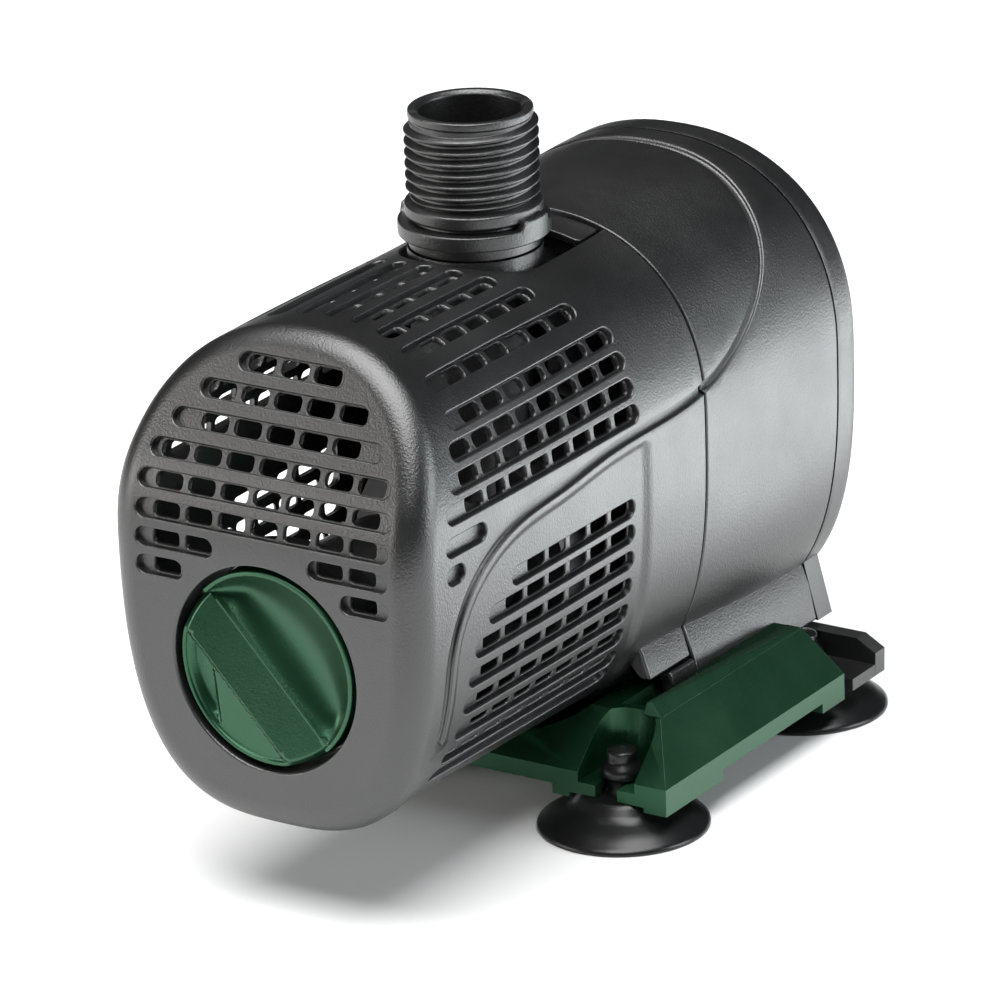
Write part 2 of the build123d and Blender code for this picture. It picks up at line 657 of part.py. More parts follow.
def base_sled():
    """Green sled: sloped skirt, cradle for the body, pockets for the front cups."""
    low = (SLED_X, *SLED_S, SLED_LIP_Z[1])
    high = (SLED_TOP_X, *SLED_TOP_S, SLED_TOP_Z)
    wall = 2.0
    sled = frustum(low, high, 0)
    lip = block(-SLED_X, SLED_X, *SLED_S, SLED_LIP_Z[0], SLED_LIP_Z[1])
    sled += lip
    for s0, s1 in ((SLED_S[0], 69.0), (100.0, SLED_S[1])):
        for side in (-1, 1):
            inner, outer = sorted((side * 17.0, side * SLED_X))
            sled += block(inner, outer, s0, s1, SLED_PAD_Z, SLED_LIP_Z[0])
    body = envelope(-0.5, 40, 118) + extrude(section(SEAM_S, -0.5), amount=SEAM_S - 40)
    hollow = frustum((low[0], low[1], low[2], SLED_LIP_Z[1]), (high[0], high[1], high[2], SLED_TOP_Z), wall)
    hollow = Pos(0, 0, -wall) * hollow
    hollow += block(-SLED_X + wall, SLED_X - wall, SLED_S[0] + wall, SLED_S[1] - wall, SLED_PAD_Z - 1,
                    SLED_LIP_Z[1] - wall)
    sled -= hollow - envelope(-0.5 - wall, 40, 118)
    sled -= body
    for side, rail in zip((-1, 1), foot_rail(40, 118)):
        sled = sled - rail - Pos(side * 0.4, 0, -0.4) * rail
    sled -= block(-4.4, 4.4, 83, 130, SLED_PAD_Z - 1, AXIS_Z - 20)
    sled -= block(-7.4, 7.4, 83, 130, AXIS_Z - 33.6, AXIS_Z - 31.2)
    for side in (-1, 1):
        x = side * CUP_X
        pocket = cylinder_z(5.2, LEDGE_Z[1], AXIS_Z - 15, x, CUP_FRONT_S + 0.4)
        pocket += block(x - 5.2, x + 5.2, 50, CUP_FRONT_S + 0.4, LEDGE_Z[1], AXIS_Z - 15)
        wall_ring = cylinder_z(6.8, LEDGE_Z[0], SLED_TOP_Z, x, CUP_FRONT_S + 0.4)
        wall_ring += block(x - 6.8, x + 6.8, SLED_S[0], CUP_FRONT_S + 0.4, LEDGE_Z[0], SLED_TOP_Z)
        sled += (wall_ring & (frustum(low, high, 0) + lip)) - body
        sled -= pocket
        sled -= keyhole(x, CUP_FRONT_S, -1)
        sled -= cylinder_z(8.4, 0, LEDGE_Z[0], x, CUP_FRONT_S)
        inner, outer = sorted((side * 19.6, side * 34.4))
        sled -= block(inner, outer, 98.0, 130, SLED_PAD_Z - 1, LEDGE_Z[1] + 0.2)
    return sled


def rear_foot(side):
    """Black foot behind the sled: a plate that takes the rear cup, and an upright end plate."""
    inner, outer = sorted((side * 20.0, side * 34.0))
    foot = block(inner, outer, 98.4, FOOT_END_S, *LEDGE_Z)
    inner, outer = sorted((side * 20.0, side * 38.4))
    foot += block(inner, outer, 109.0, FOOT_END_S, *LEDGE_Z)
    profile = [
        (side * 20.0, LEDGE_Z[0]),
        (side * 38.4, LEDGE_Z[0]),
        (side * 38.5, AXIS_Z - 31.2),
        (side * 35.0, AXIS_Z - 29.2),
        (side * 20.0, AXIS_Z - 29.2),
    ]
    foot += prism_y(profile, FOOT_END_S - FOOT_PLATE_T, FOOT_END_S)
    return foot - keyhole(side * CUP_X, CUP_REAR_S, -1)


def suction_cup(x, s):
    """Rubber cup: hollow disc, neck and grip stem in one piece."""
    outline = [
        (0.0, 3.2),
        (6.0, 2.6),
        (11.0, 1.2),
        (12.6, 0.0),
        (CUP_R, 0.0),
        (CUP_R, 0.7),
        (11.5, 2.2),
        (8.0, 3.6),
        (6.4, 5.7),
        (2.5, 5.7),
        (2.5, 7.9),
        (3.4, 8.4),
        (3.4, 9.6),
        (2.4, 11.0),
        (2.4, 12.6),
        (0.0, 13.1),
    ]
    profile = Plane.XZ * make_face(Polyline(*outline, close=True))
    return Pos(x, at(s), 0) * revolve(profile, Axis.Z)


# ---------------------------------------------------------------- write the nodes
save(strainer_cover(), "strainer_cover")
save(flow_knob(), "flow_knob")
save(knob_clip(), "knob_clip")
save(regulator_sleeve(), "regulator_sleeve")
save(pump_chamber(), "pump_chamber")
save(chamber_backplate(), "chamber_backplate")
save(chamber_o_ring(), "chamber_o_ring")
save(chamber_screws(), "chamber_screws")
save(front_bush(), "front_bush")
save(rear_bush(), "rear_bush")
save(rotor_shaft(), "rotor_shaft")
save(thrust_washer(57.2), "front_thrust_washer")
save(thrust_washer(107.5), "rear_thrust_washer")
save(impeller(), "impeller")
save(magnet_rotor(), "magnet_rotor")
save(outlet_fitting(), "outlet_fitting")
save(outlet_o_ring(), "outlet_o_ring")
save(motor_housing(), "motor_housing")
save(rotor_can(), "rotor_can")
save(stator_core(), "stator_core")
for name, side in (("left", -1), ("right", 1)):
    save(coil_bobbin(side), f"coil_bobbin_{name}")
    save(coil_winding(side), f"coil_winding_{name}")
    save(rear_foot(side), f"rear_foot_{name}")
    save(suction_cup(side * CUP_X, CUP_FRONT_S), f"suction_cup_front_{name}")
    save(suction_cup(side * CUP_X, CUP_REAR_S), f"suction_cup_rear_{name}")
save(resin_potting(), "resin_potting")
save(rear_cap(), "rear_cap")
save(cable_gland(), "cable_gland")
save(base_sled(), "base_sled")
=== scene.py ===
import json
from math import cos, pi, radians, sin, sqrt, tan

import bpy
import numpy as np
from mathutils import Matrix, Vector, kdtree
from mathutils.geometry import delaunay_2d_cdt


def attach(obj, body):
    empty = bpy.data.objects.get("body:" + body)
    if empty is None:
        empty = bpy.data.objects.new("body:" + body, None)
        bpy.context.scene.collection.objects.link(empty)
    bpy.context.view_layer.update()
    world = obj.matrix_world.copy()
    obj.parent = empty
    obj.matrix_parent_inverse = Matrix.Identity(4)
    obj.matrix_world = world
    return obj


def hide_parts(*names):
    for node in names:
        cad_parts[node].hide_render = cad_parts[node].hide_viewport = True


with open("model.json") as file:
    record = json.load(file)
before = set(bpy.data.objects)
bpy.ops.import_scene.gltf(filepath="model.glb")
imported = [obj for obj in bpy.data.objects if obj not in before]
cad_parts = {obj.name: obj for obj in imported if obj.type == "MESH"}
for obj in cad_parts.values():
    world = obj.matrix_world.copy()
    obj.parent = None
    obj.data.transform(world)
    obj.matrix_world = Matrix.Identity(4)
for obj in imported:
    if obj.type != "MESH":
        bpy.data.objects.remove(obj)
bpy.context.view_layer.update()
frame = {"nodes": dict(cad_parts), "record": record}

MM = 0.001
LENGTH = 126.2
FRONT = -LENGTH / 2       # the flat of the face; depths s are counted from here to the rear
AXIS_Z = 41.0             # height of the pump's axis over the floor


# ---------------------------------------------------------------- materials
def add_node(tree, kind, **values):
    """New shader node; values are its properties or, with _ for a space, its input sockets."""
    node = tree.nodes.new(kind)
    for key, value in values.items():
        if hasattr(node, key):
            setattr(node, key, value)
        else:
            node.inputs[key.replace("_", " ")].default_value = value
    return node


GRAIN_DEPTH = 0.09 * MM


# edge is the colour of a painted highlight laid on sharp edges and rims
def moulded(name, base, edge, rough, grain=2600.0, bump=0.35, highlight_strength=0.5, specular=0.5, metallic=0.0,
            glint=(1.0, 1.0, 1.0)):
    """Moulded or machined surface: fine grain, uneven gloss, and a painted highlight that lightens sharp
    edges, more in some patches than others.
    """
    material = bpy.data.materials.new(name)
    material.use_nodes = True
    tree = material.node_tree
    shader = tree.nodes["Principled BSDF"]
    shader.inputs["Specular IOR Level"].default_value = specular
    shader.inputs["Specular Tint"].default_value = (*glint, 1.0)
    shader.inputs["Metallic"].default_value = metallic
    coords = add_node(tree, "ShaderNodeTexCoord")
    fine = add_node(tree, "ShaderNodeTexNoise", Scale=grain, Detail=3.0, Roughness=0.6)
    patch = add_node(tree, "ShaderNodeTexNoise", Scale=55.0, Detail=5.0, Roughness=0.62)
    for texture in (fine, patch):
        tree.links.new(coords.outputs["Object"], texture.inputs["Vector"])
    gloss = add_node(tree, "ShaderNodeMapRange", From_Min=0.3, From_Max=0.7,
                     To_Min=rough - 0.05, To_Max=rough + 0.06)
    tree.links.new(patch.outputs["Fac"], gloss.inputs["Value"])
    tree.links.new(gloss.outputs["Result"], shader.inputs["Roughness"])
    shape = add_node(tree, "ShaderNodeNewGeometry")
    # painted highlight: the edge colour is mixed in where the surface is pointy, on sharp edges and slot
    # rims, stronger in some patches
    edge_highlight = add_node(tree, "ShaderNodeMapRange", From_Min=0.53, From_Max=0.62, To_Min=0.0, To_Max=highlight_strength)
    tree.links.new(shape.outputs["Pointiness"], edge_highlight.inputs["Value"])
    uneven_highlight = add_node(tree, "ShaderNodeMapRange", From_Min=0.35, From_Max=0.7, To_Min=0.55, To_Max=1.0)
    tree.links.new(patch.outputs["Fac"], uneven_highlight.inputs["Value"])
    highlight_amount = add_node(tree, "ShaderNodeMath", operation="MULTIPLY")
    tree.links.new(edge_highlight.outputs["Result"], highlight_amount.inputs[0])
    tree.links.new(uneven_highlight.outputs["Result"], highlight_amount.inputs[1])
    tint = add_node(tree, "ShaderNodeMix", data_type="RGBA")
    factor, first, second, colour = tint.inputs[0], tint.inputs[6], tint.inputs[7], tint.outputs[2]
    tree.links.new(highlight_amount.outputs[0], factor)
    first.default_value = (*base, 1.0)
    second.default_value = (*edge, 1.0)
    tree.links.new(colour, shader.inputs["Base Color"])
    relief = add_node(tree, "ShaderNodeBump", Strength=bump, Distance=GRAIN_DEPTH)
    tree.links.new(fine.outputs["Fac"], relief.inputs["Height"])
    tree.links.new(relief.outputs["Normal"], shader.inputs["Normal"])
    return material


# each material: base colour, colour of the painted highlight on its sharp edges, roughness
MATERIALS = {
    "black_plastic": moulded("black_plastic", (0.0050, 0.0050, 0.0053), (0.05, 0.05, 0.05), 0.34,
                             bump=0.8, specular=1.0),
    "green_plastic": moulded("green_plastic", (0.0020, 0.0150, 0.0062), (0.014, 0.080, 0.040), 0.30,
                             specular=1.0, glint=(0.42, 1.0, 0.60)),
    "rubber": moulded("rubber", (0.006, 0.006, 0.0065), (0.03, 0.03, 0.03), 0.30, grain=900.0, bump=0.15),
    "steel": moulded("steel", (0.55, 0.55, 0.56), (0.8, 0.8, 0.8), 0.25, grain=700.0, bump=0.2, metallic=1.0),
    "ceramic": moulded("ceramic", (0.72, 0.70, 0.66), (0.85, 0.84, 0.82), 0.2, grain=900.0, bump=0.1),
    "ferrite": moulded("ferrite", (0.035, 0.036, 0.04), (0.12, 0.12, 0.13), 0.45, grain=1500.0, bump=0.5),
    "laminations": moulded("laminations", (0.33, 0.34, 0.36), (0.6, 0.6, 0.62), 0.42,
                           grain=1200.0, bump=0.6, metallic=0.9),
    "white_plastic": moulded("white_plastic", (0.62, 0.60, 0.55), (0.75, 0.74, 0.7), 0.4),
    "copper": moulded("copper", (0.60, 0.24, 0.11), (0.8, 0.4, 0.25), 0.3,
                      grain=1500.0, bump=0.6, metallic=0.95),
    "resin": moulded("resin", (0.03, 0.028, 0.025), (0.08, 0.08, 0.08), 0.3, grain=400.0, bump=0.3),
}


def new_object(name, data):
    """Links a new object that holds a mesh, a light or a camera."""
    thing = bpy.data.objects.new(name, data)
    bpy.context.collection.objects.link(thing)
    return thing


# ---------------------------------------------------------------- CAD pieces
WELD_DISTANCE = 0.002
SHARP_ANGLE = 35
CAD_EDGE = 0.3


def round_edges(piece, radius):
    """Soft radius on the sharp edges of a CAD mesh."""
    weld = piece.modifiers.new("weld", "WELD")
    weld.merge_threshold = WELD_DISTANCE * MM
    bevel = piece.modifiers.new("edges", "BEVEL")
    bevel.width = radius * MM
    bevel.segments = 2
    bevel.limit_method = "ANGLE"
    bevel.angle_limit = radians(SHARP_ANGLE)
    bevel.harden_normals = True
    bevel.use_clamp_overlap = True


def dress_cad():
    """Finish for every CAD piece: its slot's material and softly rounded edges."""
    finish = {part["node"]: part["material_slot"] for part in frame["record"]["subparts"]}
    for name, node in frame["nodes"].items():
        material = MATERIALS[finish.get(name, "black_plastic")]
        node.data.materials.clear()
        node.data.materials.append(material)
        round_edges(node, CAD_EDGE)


dress_cad()


# ---------------------------------------------------------------- body shape (millimetres)
MID_RISE = 20.0           # from the pump's axis up to the widest level of the body
MID_Z = AXIS_Z + MID_RISE
UPPER_POWER, LOWER_POWER = 2.25, 2.9
# s, half width, rise over and drop under the widest level
STATIONS = np.array([
    (0.0, 28.4, 29.9, 46.4),
    (40.0, 29.1, 29.9, 47.3),
    (80.0, 29.8, 29.9, 48.2),
    (116.5, 32.3, 32.1, 47.6),
    (124.2, 32.1, 31.9, 47.4),
])
SEAM_S = 80.0             # where the cover meets the motor housing
SEAM_GAP = 0.15           # each side of the seam
OUTLET_S = 61.5
WALL = 2.1
SLOPE = radians(27.3)     # lean of the face's upper part, behind a bend
BEND_R = 30.0
BEND_LOW = AXIS_Z + 24.0 - BEND_R * tan(SLOPE / 2)
RIM_R = 5.0
RIM_POINTS, RIM_STEPS = 360, 8
RIM_ROUNDS = 12           # the side meets the leaning face: each round comes closer
RELIEF_CHUNK = 8000       # points in one step, to keep memory low


def spline_through(x, y):
    """Natural cubic spline through a few points."""
    count = len(x)
    gaps = np.diff(x)
    matrix = np.eye(count)
    right = np.zeros(count)
    for i in range(1, count - 1):
        matrix[i, i - 1:i + 2] = gaps[i - 1], 2 * (gaps[i - 1] + gaps[i]), gaps[i]
        right[i] = 6 * ((y[i + 1] - y[i]) / gaps[i] - (y[i] - y[i - 1]) / gaps[i - 1])
    bend = np.linalg.solve(matrix, right)

    def value(at):
        i = np.clip(np.searchsorted(x, at) - 1, 0, count - 2)
        h, a, b = gaps[i], x[i + 1] - at, at - x[i]
        return (bend[i] * a ** 3 + bend[i + 1] * b ** 3) / (6 * h) + (y[i] / h - bend[i] * h / 6) * a \
            + (y[i + 1] / h - bend[i + 1] * h / 6) * b
    return value


half_width = spline_through(STATIONS[:, 0], STATIONS[:, 1])
rise = spline_through(STATIONS[:, 0], STATIONS[:, 2])
drop = spline_through(STATIONS[:, 0], STATIONS[:, 3])


def polar_radius(angle, s):
    """Distance of the body's surface from the middle of its section."""
    upper = np.sin(angle) >= 0
    power = np.where(upper, UPPER_POWER, LOWER_POWER)
    height = np.where(upper, rise(s), drop(s))
    across = np.abs(np.cos(angle)) / half_width(s)
    upright = np.abs(np.sin(angle)) / height
    return (across ** power + upright ** power) ** (-1 / power)


def way_along(x, y):
    """Length of the way along a line of points, at each point."""
    return np.concatenate(([0.0], np.cumsum(np.hypot(np.diff(x), np.diff(y)))))


# the pattern's u is the way round the body's section at the seam, from the bottom centre up the right side
ANGLES = np.linspace(-pi / 2, 1.5 * pi, 6001)
SEAM_RADII = polar_radius(ANGLES, np.full(ANGLES.shape, SEAM_S))
ARC = way_along(SEAM_RADII * np.cos(ANGLES), SEAM_RADII * np.sin(ANGLES))
FULL_U = ARC[-1]
TOP_U = FULL_U / 2


def side_surface(pattern):
    """Pattern u and s."""
    angle = np.interp(np.mod(pattern[:, 0], FULL_U), ARC, ANGLES)
    r = polar_radius(angle, pattern[:, 1])
    return np.column_stack((r * np.cos(angle), pattern[:, 1], MID_Z + r * np.sin(angle)))


def face_surface(pattern):
    """Pattern x and w: w is the height measured along the leaning face."""
    w = pattern[:, 1]
    turn = np.clip((w - BEND_LOW) / BEND_R, 0, SLOPE)
    past = np.maximum(w - BEND_LOW - BEND_R * SLOPE, 0)
    z = np.minimum(w, BEND_LOW) + BEND_R * np.sin(turn) + past * cos(SLOPE)
    s = BEND_R * (1 - np.cos(turn)) + past * sin(SLOPE)
    return np.column_stack((pattern[:, 0], s, z))


FACE_W = np.linspace(0, 130, 2601)
FACE_LINE = face_surface(np.column_stack((np.zeros(len(FACE_W)), FACE_W)))


def face_w(z):
    return np.interp(z, FACE_LINE[:, 2], FACE_W)


def face_s(z):
    return np.interp(z, FACE_LINE[:, 2], FACE_LINE[:, 1])


def u_at_height(z, s):
    """Pattern u of the right side's point at height z."""
    over = z - MID_Z
    power = UPPER_POWER if over > 0 else LOWER_POWER
    height = rise(s) if over > 0 else drop(s)
    x = half_width(s) * (1 - (abs(over) / height) ** power) ** (1 / power)
    return np.interp(np.arctan2(over, x), ANGLES, ARC)


def u_at_x(x, s):
    """Pattern u of the point over x on the top."""
    z = rise(s) * (1 - (np.abs(x) / half_width(s)) ** UPPER_POWER) ** (1 / UPPER_POWER)
    return np.interp(np.arctan2(z, x), ANGLES, ARC)


def smooth(low, high, value):
    """Eased step from 0 at low to 1 at high."""
    t = np.clip((value - low) / (high - low), 0, 1)
    return t * t * (3 - 2 * t)


# the band on the right side, from the front edge back over the housing: x, s, height over the axis
BAND = np.array([
    (27.2, 8.3, -12.0), (28.2, 8.4, -3.0), (28.5, 8.7, 3.5), (29.1, 11.0, 9.6), (29.4, 17.5, 16.2),
    (29.5, 26.0, 19.9), (29.7, 40.6, 21.6), (29.9, 52.0, 22.9), (30.1, 66.0, 23.4), (30.4, 80.5, 24.9),
    (30.4, 88.5, 28.2), (29.7, 96.2, 33.6), (27.4, 102.6, 40.0), (22.0, 107.0, 46.0), (13.0, 109.9, 50.6),
    (0.0, 110.9, 52.2),
])
GROOVE_DEPTH = 0.95
GROOVE_WALL = (0.68, 0.98)
GROOVE_START = (8.2, 9.2)
PANEL_DEPTH = 0.6
PANEL_WALL = (1.7, 3.4)
PANEL_REAR = (62.4, 65.0)
PATH_STEP = 0.4


def band_path():
    """Middle line of the band in the pattern."""
    u = np.interp(np.arctan2(BAND[:, 2] - MID_RISE, BAND[:, 0]), ANGLES, ARC)
    u[-1] = TOP_U
    s = BAND[:, 1]
    way = way_along(u, s)
    fine = np.arange(0, way[-1], PATH_STEP)
    return np.column_stack((spline_through(way, u)(fine), spline_through(way, s)(fine)))


PATH = band_path()


def side_relief(pattern):
    """Depth of the band's groove and of the shallow panel under it."""
    u = TOP_U - np.abs(pattern[:, 0] - TOP_U)
    s = pattern[:, 1]
    depth = np.zeros(len(u))
    for start in range(0, len(u), RELIEF_CHUNK):
        part = slice(start, start + RELIEF_CHUNK)
        du, ds = u[part, None] - PATH[None, :, 0], s[part, None] - PATH[None, :, 1]
        away = np.sqrt((du ** 2 + ds ** 2).min(1))
        groove = GROOVE_DEPTH * (1 - smooth(*GROOVE_WALL, away))
        groove *= smooth(*GROOVE_START, s[part] + 0.02 * u[part])
        under = (u[part] < np.interp(s[part], PATH[:, 1], PATH[:, 0])) & (s[part] > PATH[0, 1])
        panel = PANEL_DEPTH * smooth(*PANEL_WALL, away) * under * (1 - smooth(*PANEL_REAR, s[part]))
        depth[part] = groove + panel
    return depth


def no_relief(pattern):
    return np.zeros(len(pattern))


def leftward(along):
    """Unit vectors to the left of flat directions."""
    left = np.column_stack((-along[:, 1], along[:, 0]))
    return left / np.hypot(*left.T)[:, None]


# ---------------------------------------------------------------- shells laid out flat
def inside(points, loop):
    """True for the points inside a closed loop."""
    found = np.zeros(len(points), bool)
    low, high = loop.min(0), loop.max(0)
    near = np.flatnonzero(((points >= low) & (points <= high)).all(1))
    x, y = points[near].T
    a, b = loop, np.roll(loop, -1, 0)
    crossings = np.zeros(len(near), int)
    for (x0, y0), (x1, y1) in zip(a, b):
        if y0 != y1:
            crossings += ((y0 > y) != (y1 > y)) & (x < (x1 - x0) * (y - y0) / (y1 - y0) + x0)
    found[near] = crossings % 2 == 1
    return found


def between(points, loops):
    """True for the points inside the first loop and outside the others."""
    found = inside(points, loops[0])
    for loop in loops[1:]:
        found &= ~inside(points, loop)
    return found


def staggered(loop, spacing):
    """Grid over a loop's box, every second column shifted by half a step."""
    low, high = loop.min(0), loop.max(0)
    us = np.arange(low[0] + spacing[0] / 2, high[0], spacing[0])
    ss = np.arange(low[1] + spacing[1] / 2, high[1], spacing[1])
    shifts = (0, spacing[1] / 2)
    return np.array([(u, s + shifts[i % 2]) for i, u in enumerate(us) for s in ss])


EDGE_SAMPLE = 0.5         # along the boundaries, when grid points are kept clear of them
OPEN_END = 60             # a gap of this many samples is the jump from an open line's end to its start
CLEAR_SHARE = 0.42        # of the grid's spacing


def clear_of(points, loops, distance):
    """Whether each point is further than the distance from every loop and line."""
    dense = []
    for loop in loops:
        for a, b in zip(loop, np.roll(loop, -1, 0)):
            count = max(1, int(np.hypot(*(b - a)) / EDGE_SAMPLE))
            if count < OPEN_END:
                dense.extend(a + (b - a) * k / count for k in range(count))
    tree = kdtree.KDTree(len(dense))
    for i, point in enumerate(dense):
        tree.insert((*point, 0), i)
    tree.balance()
    return [tree.find((*point, 0))[2] > distance for point in points]


class Build:
    """Vertices with their normals, and faces, of one piece."""

    def __init__(self):
        self.points, self.normals, self.flat, self.faces = [], [], [], []

    def add(self, points, normals, flat=None):
        start = len(self.points)
        flat = np.zeros((len(points), 2)) if flat is None else flat
        self.points.extend(np.asarray(points))
        self.normals.extend(np.asarray(normals))
        self.flat.extend(np.asarray(flat))
        return np.arange(start, start + len(points))

    def strip(self, a, b, closed=True):
        """Quads between two rows of vertices."""
        last = len(a) if closed else len(a) - 1
        for i in range(last):
            j = (i + 1) % len(a)
            self.faces.append((a[i], a[j], b[j], b[i]))

    def to_object(self, name, material, body, node):
        """Makes the piece, its faces turned to their normals, in place of the CAD node."""
        points = np.array(self.points)
        normals = np.array(self.normals)
        normals /= np.linalg.norm(normals, axis=1)[:, None]
        faces = []
        for face in self.faces:
            face = list(dict.fromkeys(int(i) for i in face))
            if len(face) < 3:
                continue
            corner = points[face]
            normal = np.cross(corner[1] - corner[0], corner[2] - corner[0])
            if len(face) == 4:
                normal = normal + np.cross(corner[2] - corner[0], corner[3] - corner[0])
            if normal @ normals[face].sum(0) < 0:
                face.reverse()
            faces.append(face)
        mesh = bpy.data.meshes.new(name)
        placed = (points + (0, FRONT, 0)) * MM
        mesh.from_pydata(placed.tolist(), [], faces)
        mesh.materials.append(MATERIALS[material])
        mesh.shade_smooth()
        mesh.normals_split_custom_set_from_vertices(normals.tolist())
        piece = new_object(name, mesh)
        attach(piece, body)
        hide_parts(node)


class Cloth:
    """Part of a shell that is drawn in a flat pattern and wrapped on to a surface."""

    def __init__(self, build, surface, relief, outward):
        self.build, self.surface, self.relief, self.outward = build, surface, relief, outward

    def frame(self, flat, with_relief):
        """Point, unit normal and the two tangents at pattern positions."""
        step = 0.04

        def place(at):
            point = self.surface(at)
            if with_relief:
                return point - self.frame(at, False)[1] * self.relief(at)[:, None]
            return point

        along_u = (place(flat + (step, 0)) - place(flat - (step, 0))) / (2 * step)
        along_s = (place(flat + (0, step)) - place(flat - (0, step))) / (2 * step)
        normal = np.cross(along_s, along_u) * self.outward
        normal /= np.linalg.norm(normal, axis=1)[:, None]
        return place(flat), normal, along_u, along_s

    def ring(self, flat, depth=0.0, toward=None, tilt=0.0, inner=False):
        """Vertices at pattern positions, at a depth under the surface: returns their numbers."""
        flat = np.asarray(flat, float)
        bare, base, along_u, along_s = self.frame(flat, False)
        relief = self.relief(flat)[:, None]
        if inner or depth >= WALL:
            relief = 0.0
        point = bare - base * (relief + depth)
        normal = -base if inner else self.frame(flat, True)[1]
        if toward is not None and tilt:
            way = along_u * toward[:, :1] + along_s * toward[:, 1:]
            way /= np.linalg.norm(way, axis=1)[:, None]
            normal = normal * cos(radians(tilt)) + way * sin(radians(tilt))
        return self.build.add(point, normal, flat)

    def hole(self, base, toward, steps, closed=True):
        """Rings down the wall of an opening: offset into the opening, depth, tilt of the normal."""
        rings = []
        for offset, depth, tilt in steps:
            ids = self.ring(base + toward * offset, depth, toward, tilt)
            if rings:
                self.build.strip(rings[-1], ids, closed)
            rings.append(ids)
        return rings

    def patch(self, boundary, holes=(), lines=(), spacing=None, depth=0.0, inner=False, grid=None):
        """Fills a boundary, leaving the holes, with grid points between."""
        flat = np.array(self.build.flat)
        loops = [flat[ids] for ids in (boundary, *holes)]
        ids = np.concatenate([boundary, *holes, *lines])
        if spacing:
            grid = staggered(loops[0], spacing) if grid is None else grid
            grid = grid[between(grid, loops)]
            grid = grid[clear_of(grid, loops + [flat[line] for line in lines], CLEAR_SHARE * min(spacing))]
            if len(grid):
                ids = np.concatenate([ids, self.ring(grid, depth, inner=inner)])
        flat = np.array(self.build.flat)
        place = {int(v): i for i, v in enumerate(ids)}
        edges = []
        for loop in (boundary, *holes):
            edges += [(place[int(a)], place[int(b)]) for a, b in zip(loop, np.roll(loop, -1))]
        for line in lines:
            edges += [(place[int(a)], place[int(b)]) for a, b in zip(line[:-1], line[1:])]
        result = delaunay_2d_cdt([Vector(flat[v]) for v in ids], edges, [], 0, 1e-7)
        corners, triangles, origins = np.array([tuple(v) for v in result[0]]), np.array(result[2]), result[3]
        names = []
        for point, origin in zip(corners, origins):
            names.append(int(ids[origin[0]] if origin else self.ring(point[None, :], depth, inner=inner)[0]))
        for triangle in triangles[between(corners[triangles].mean(1), loops)]:
            self.build.faces.append(tuple(names[i] for i in triangle))


# ---------------------------------------------------------------- strainer cover
SLOT_HEIGHT = 3.0
FLOOR = 1.1               # depth of a slot's floor
WINDOW = (4.95, 2.66)
WINDOW_CORNER = 0.85
PITCH = 5.95
ROW_MARGIN, WINDOW_ROOM = 0.45, 4.6     # at a row's ends, and for its last window
TOP_PITCH = 5.0
TOP_ROWS_EACH_SIDE = 4
TOP_FRONT, TOP_REAR = 21.3, OUTLET_S - 13.1
TOP_FRONT_BEND, TOP_REAR_BEND = 0.009, 0.0235
KNOB_HOLE_R = 16.5
KNOB_COLLAR_WALL = 1.6
KNOB_COLLAR_DEPTH = 11.0
CUTOUT_R = 11.9
REAR_S = SEAM_S - SEAM_GAP
# height over the axis, half length, windows each side of the middle one
FACE_ROWS = [(44.8, 9.5, 1), (40.4, 15.2, 2), (35.9, 19.0, 2),
             (31.4, 21.7, 3), (26.9, 22.9, 3), (22.4, 22.9, 3)]
# height over the axis, near and far end
FACE_SHORT_ROWS = [(17.9, 8.7, 22.9), (13.4, 14.4, 22.9)]
SIDE_UPPER_ROWS = [38.4, 34.6, 30.5, 26.4]
SIDE_UPPER_END, SIDE_LOWER_END = 62.0, 60.6
# height over the axis, rear end
SIDE_STUB_FRONT = 8.0
SIDE_STUB_ROWS = [(21.6, 18.6), (17.1, 12.6)]
# height over the axis, front end
SIDE_LOWER_ROWS = [(11.1, 25.9), (6.9, 19.7), (2.4, 16.3), (-2.2, 15.2),
                   (-6.7, 14.8), (-11.0, 14.2), (-15.0, 13.0), (-18.3, 12.2)]
# offset into the opening, depth, tilt of the normal in degrees
SLOT_STEPS = [(-0.30, 0.0, 0), (-0.09, 0.09, 45), (0.0, 0.30, 80), (0.06, FLOOR - 0.02, 82)]
WINDOW_STEPS = [(-0.06, FLOOR, 0), (0.0, FLOOR + 0.08, 50), (0.04, WALL, 85)]
EDGE_STEPS = [(-0.35, 0.0, 0), (-0.10, 0.10, 45), (0.0, 0.35, 85), (0.0, WALL, 88)]
KNOB_HOLE_STEPS = [(-0.45, 0.0, 0), (-0.13, 0.13, 45), (0.0, 0.45, 85), (0.0, KNOB_COLLAR_DEPTH, 88)]
# offsets of the pattern lines from the band's middle line, and from there into the panel
BAND_EDGES = (-1.0, -0.84, -0.66, 0.66, 0.84, 1.0)
PANEL_EDGES = (1.8, 2.3, 2.8, 3.4)


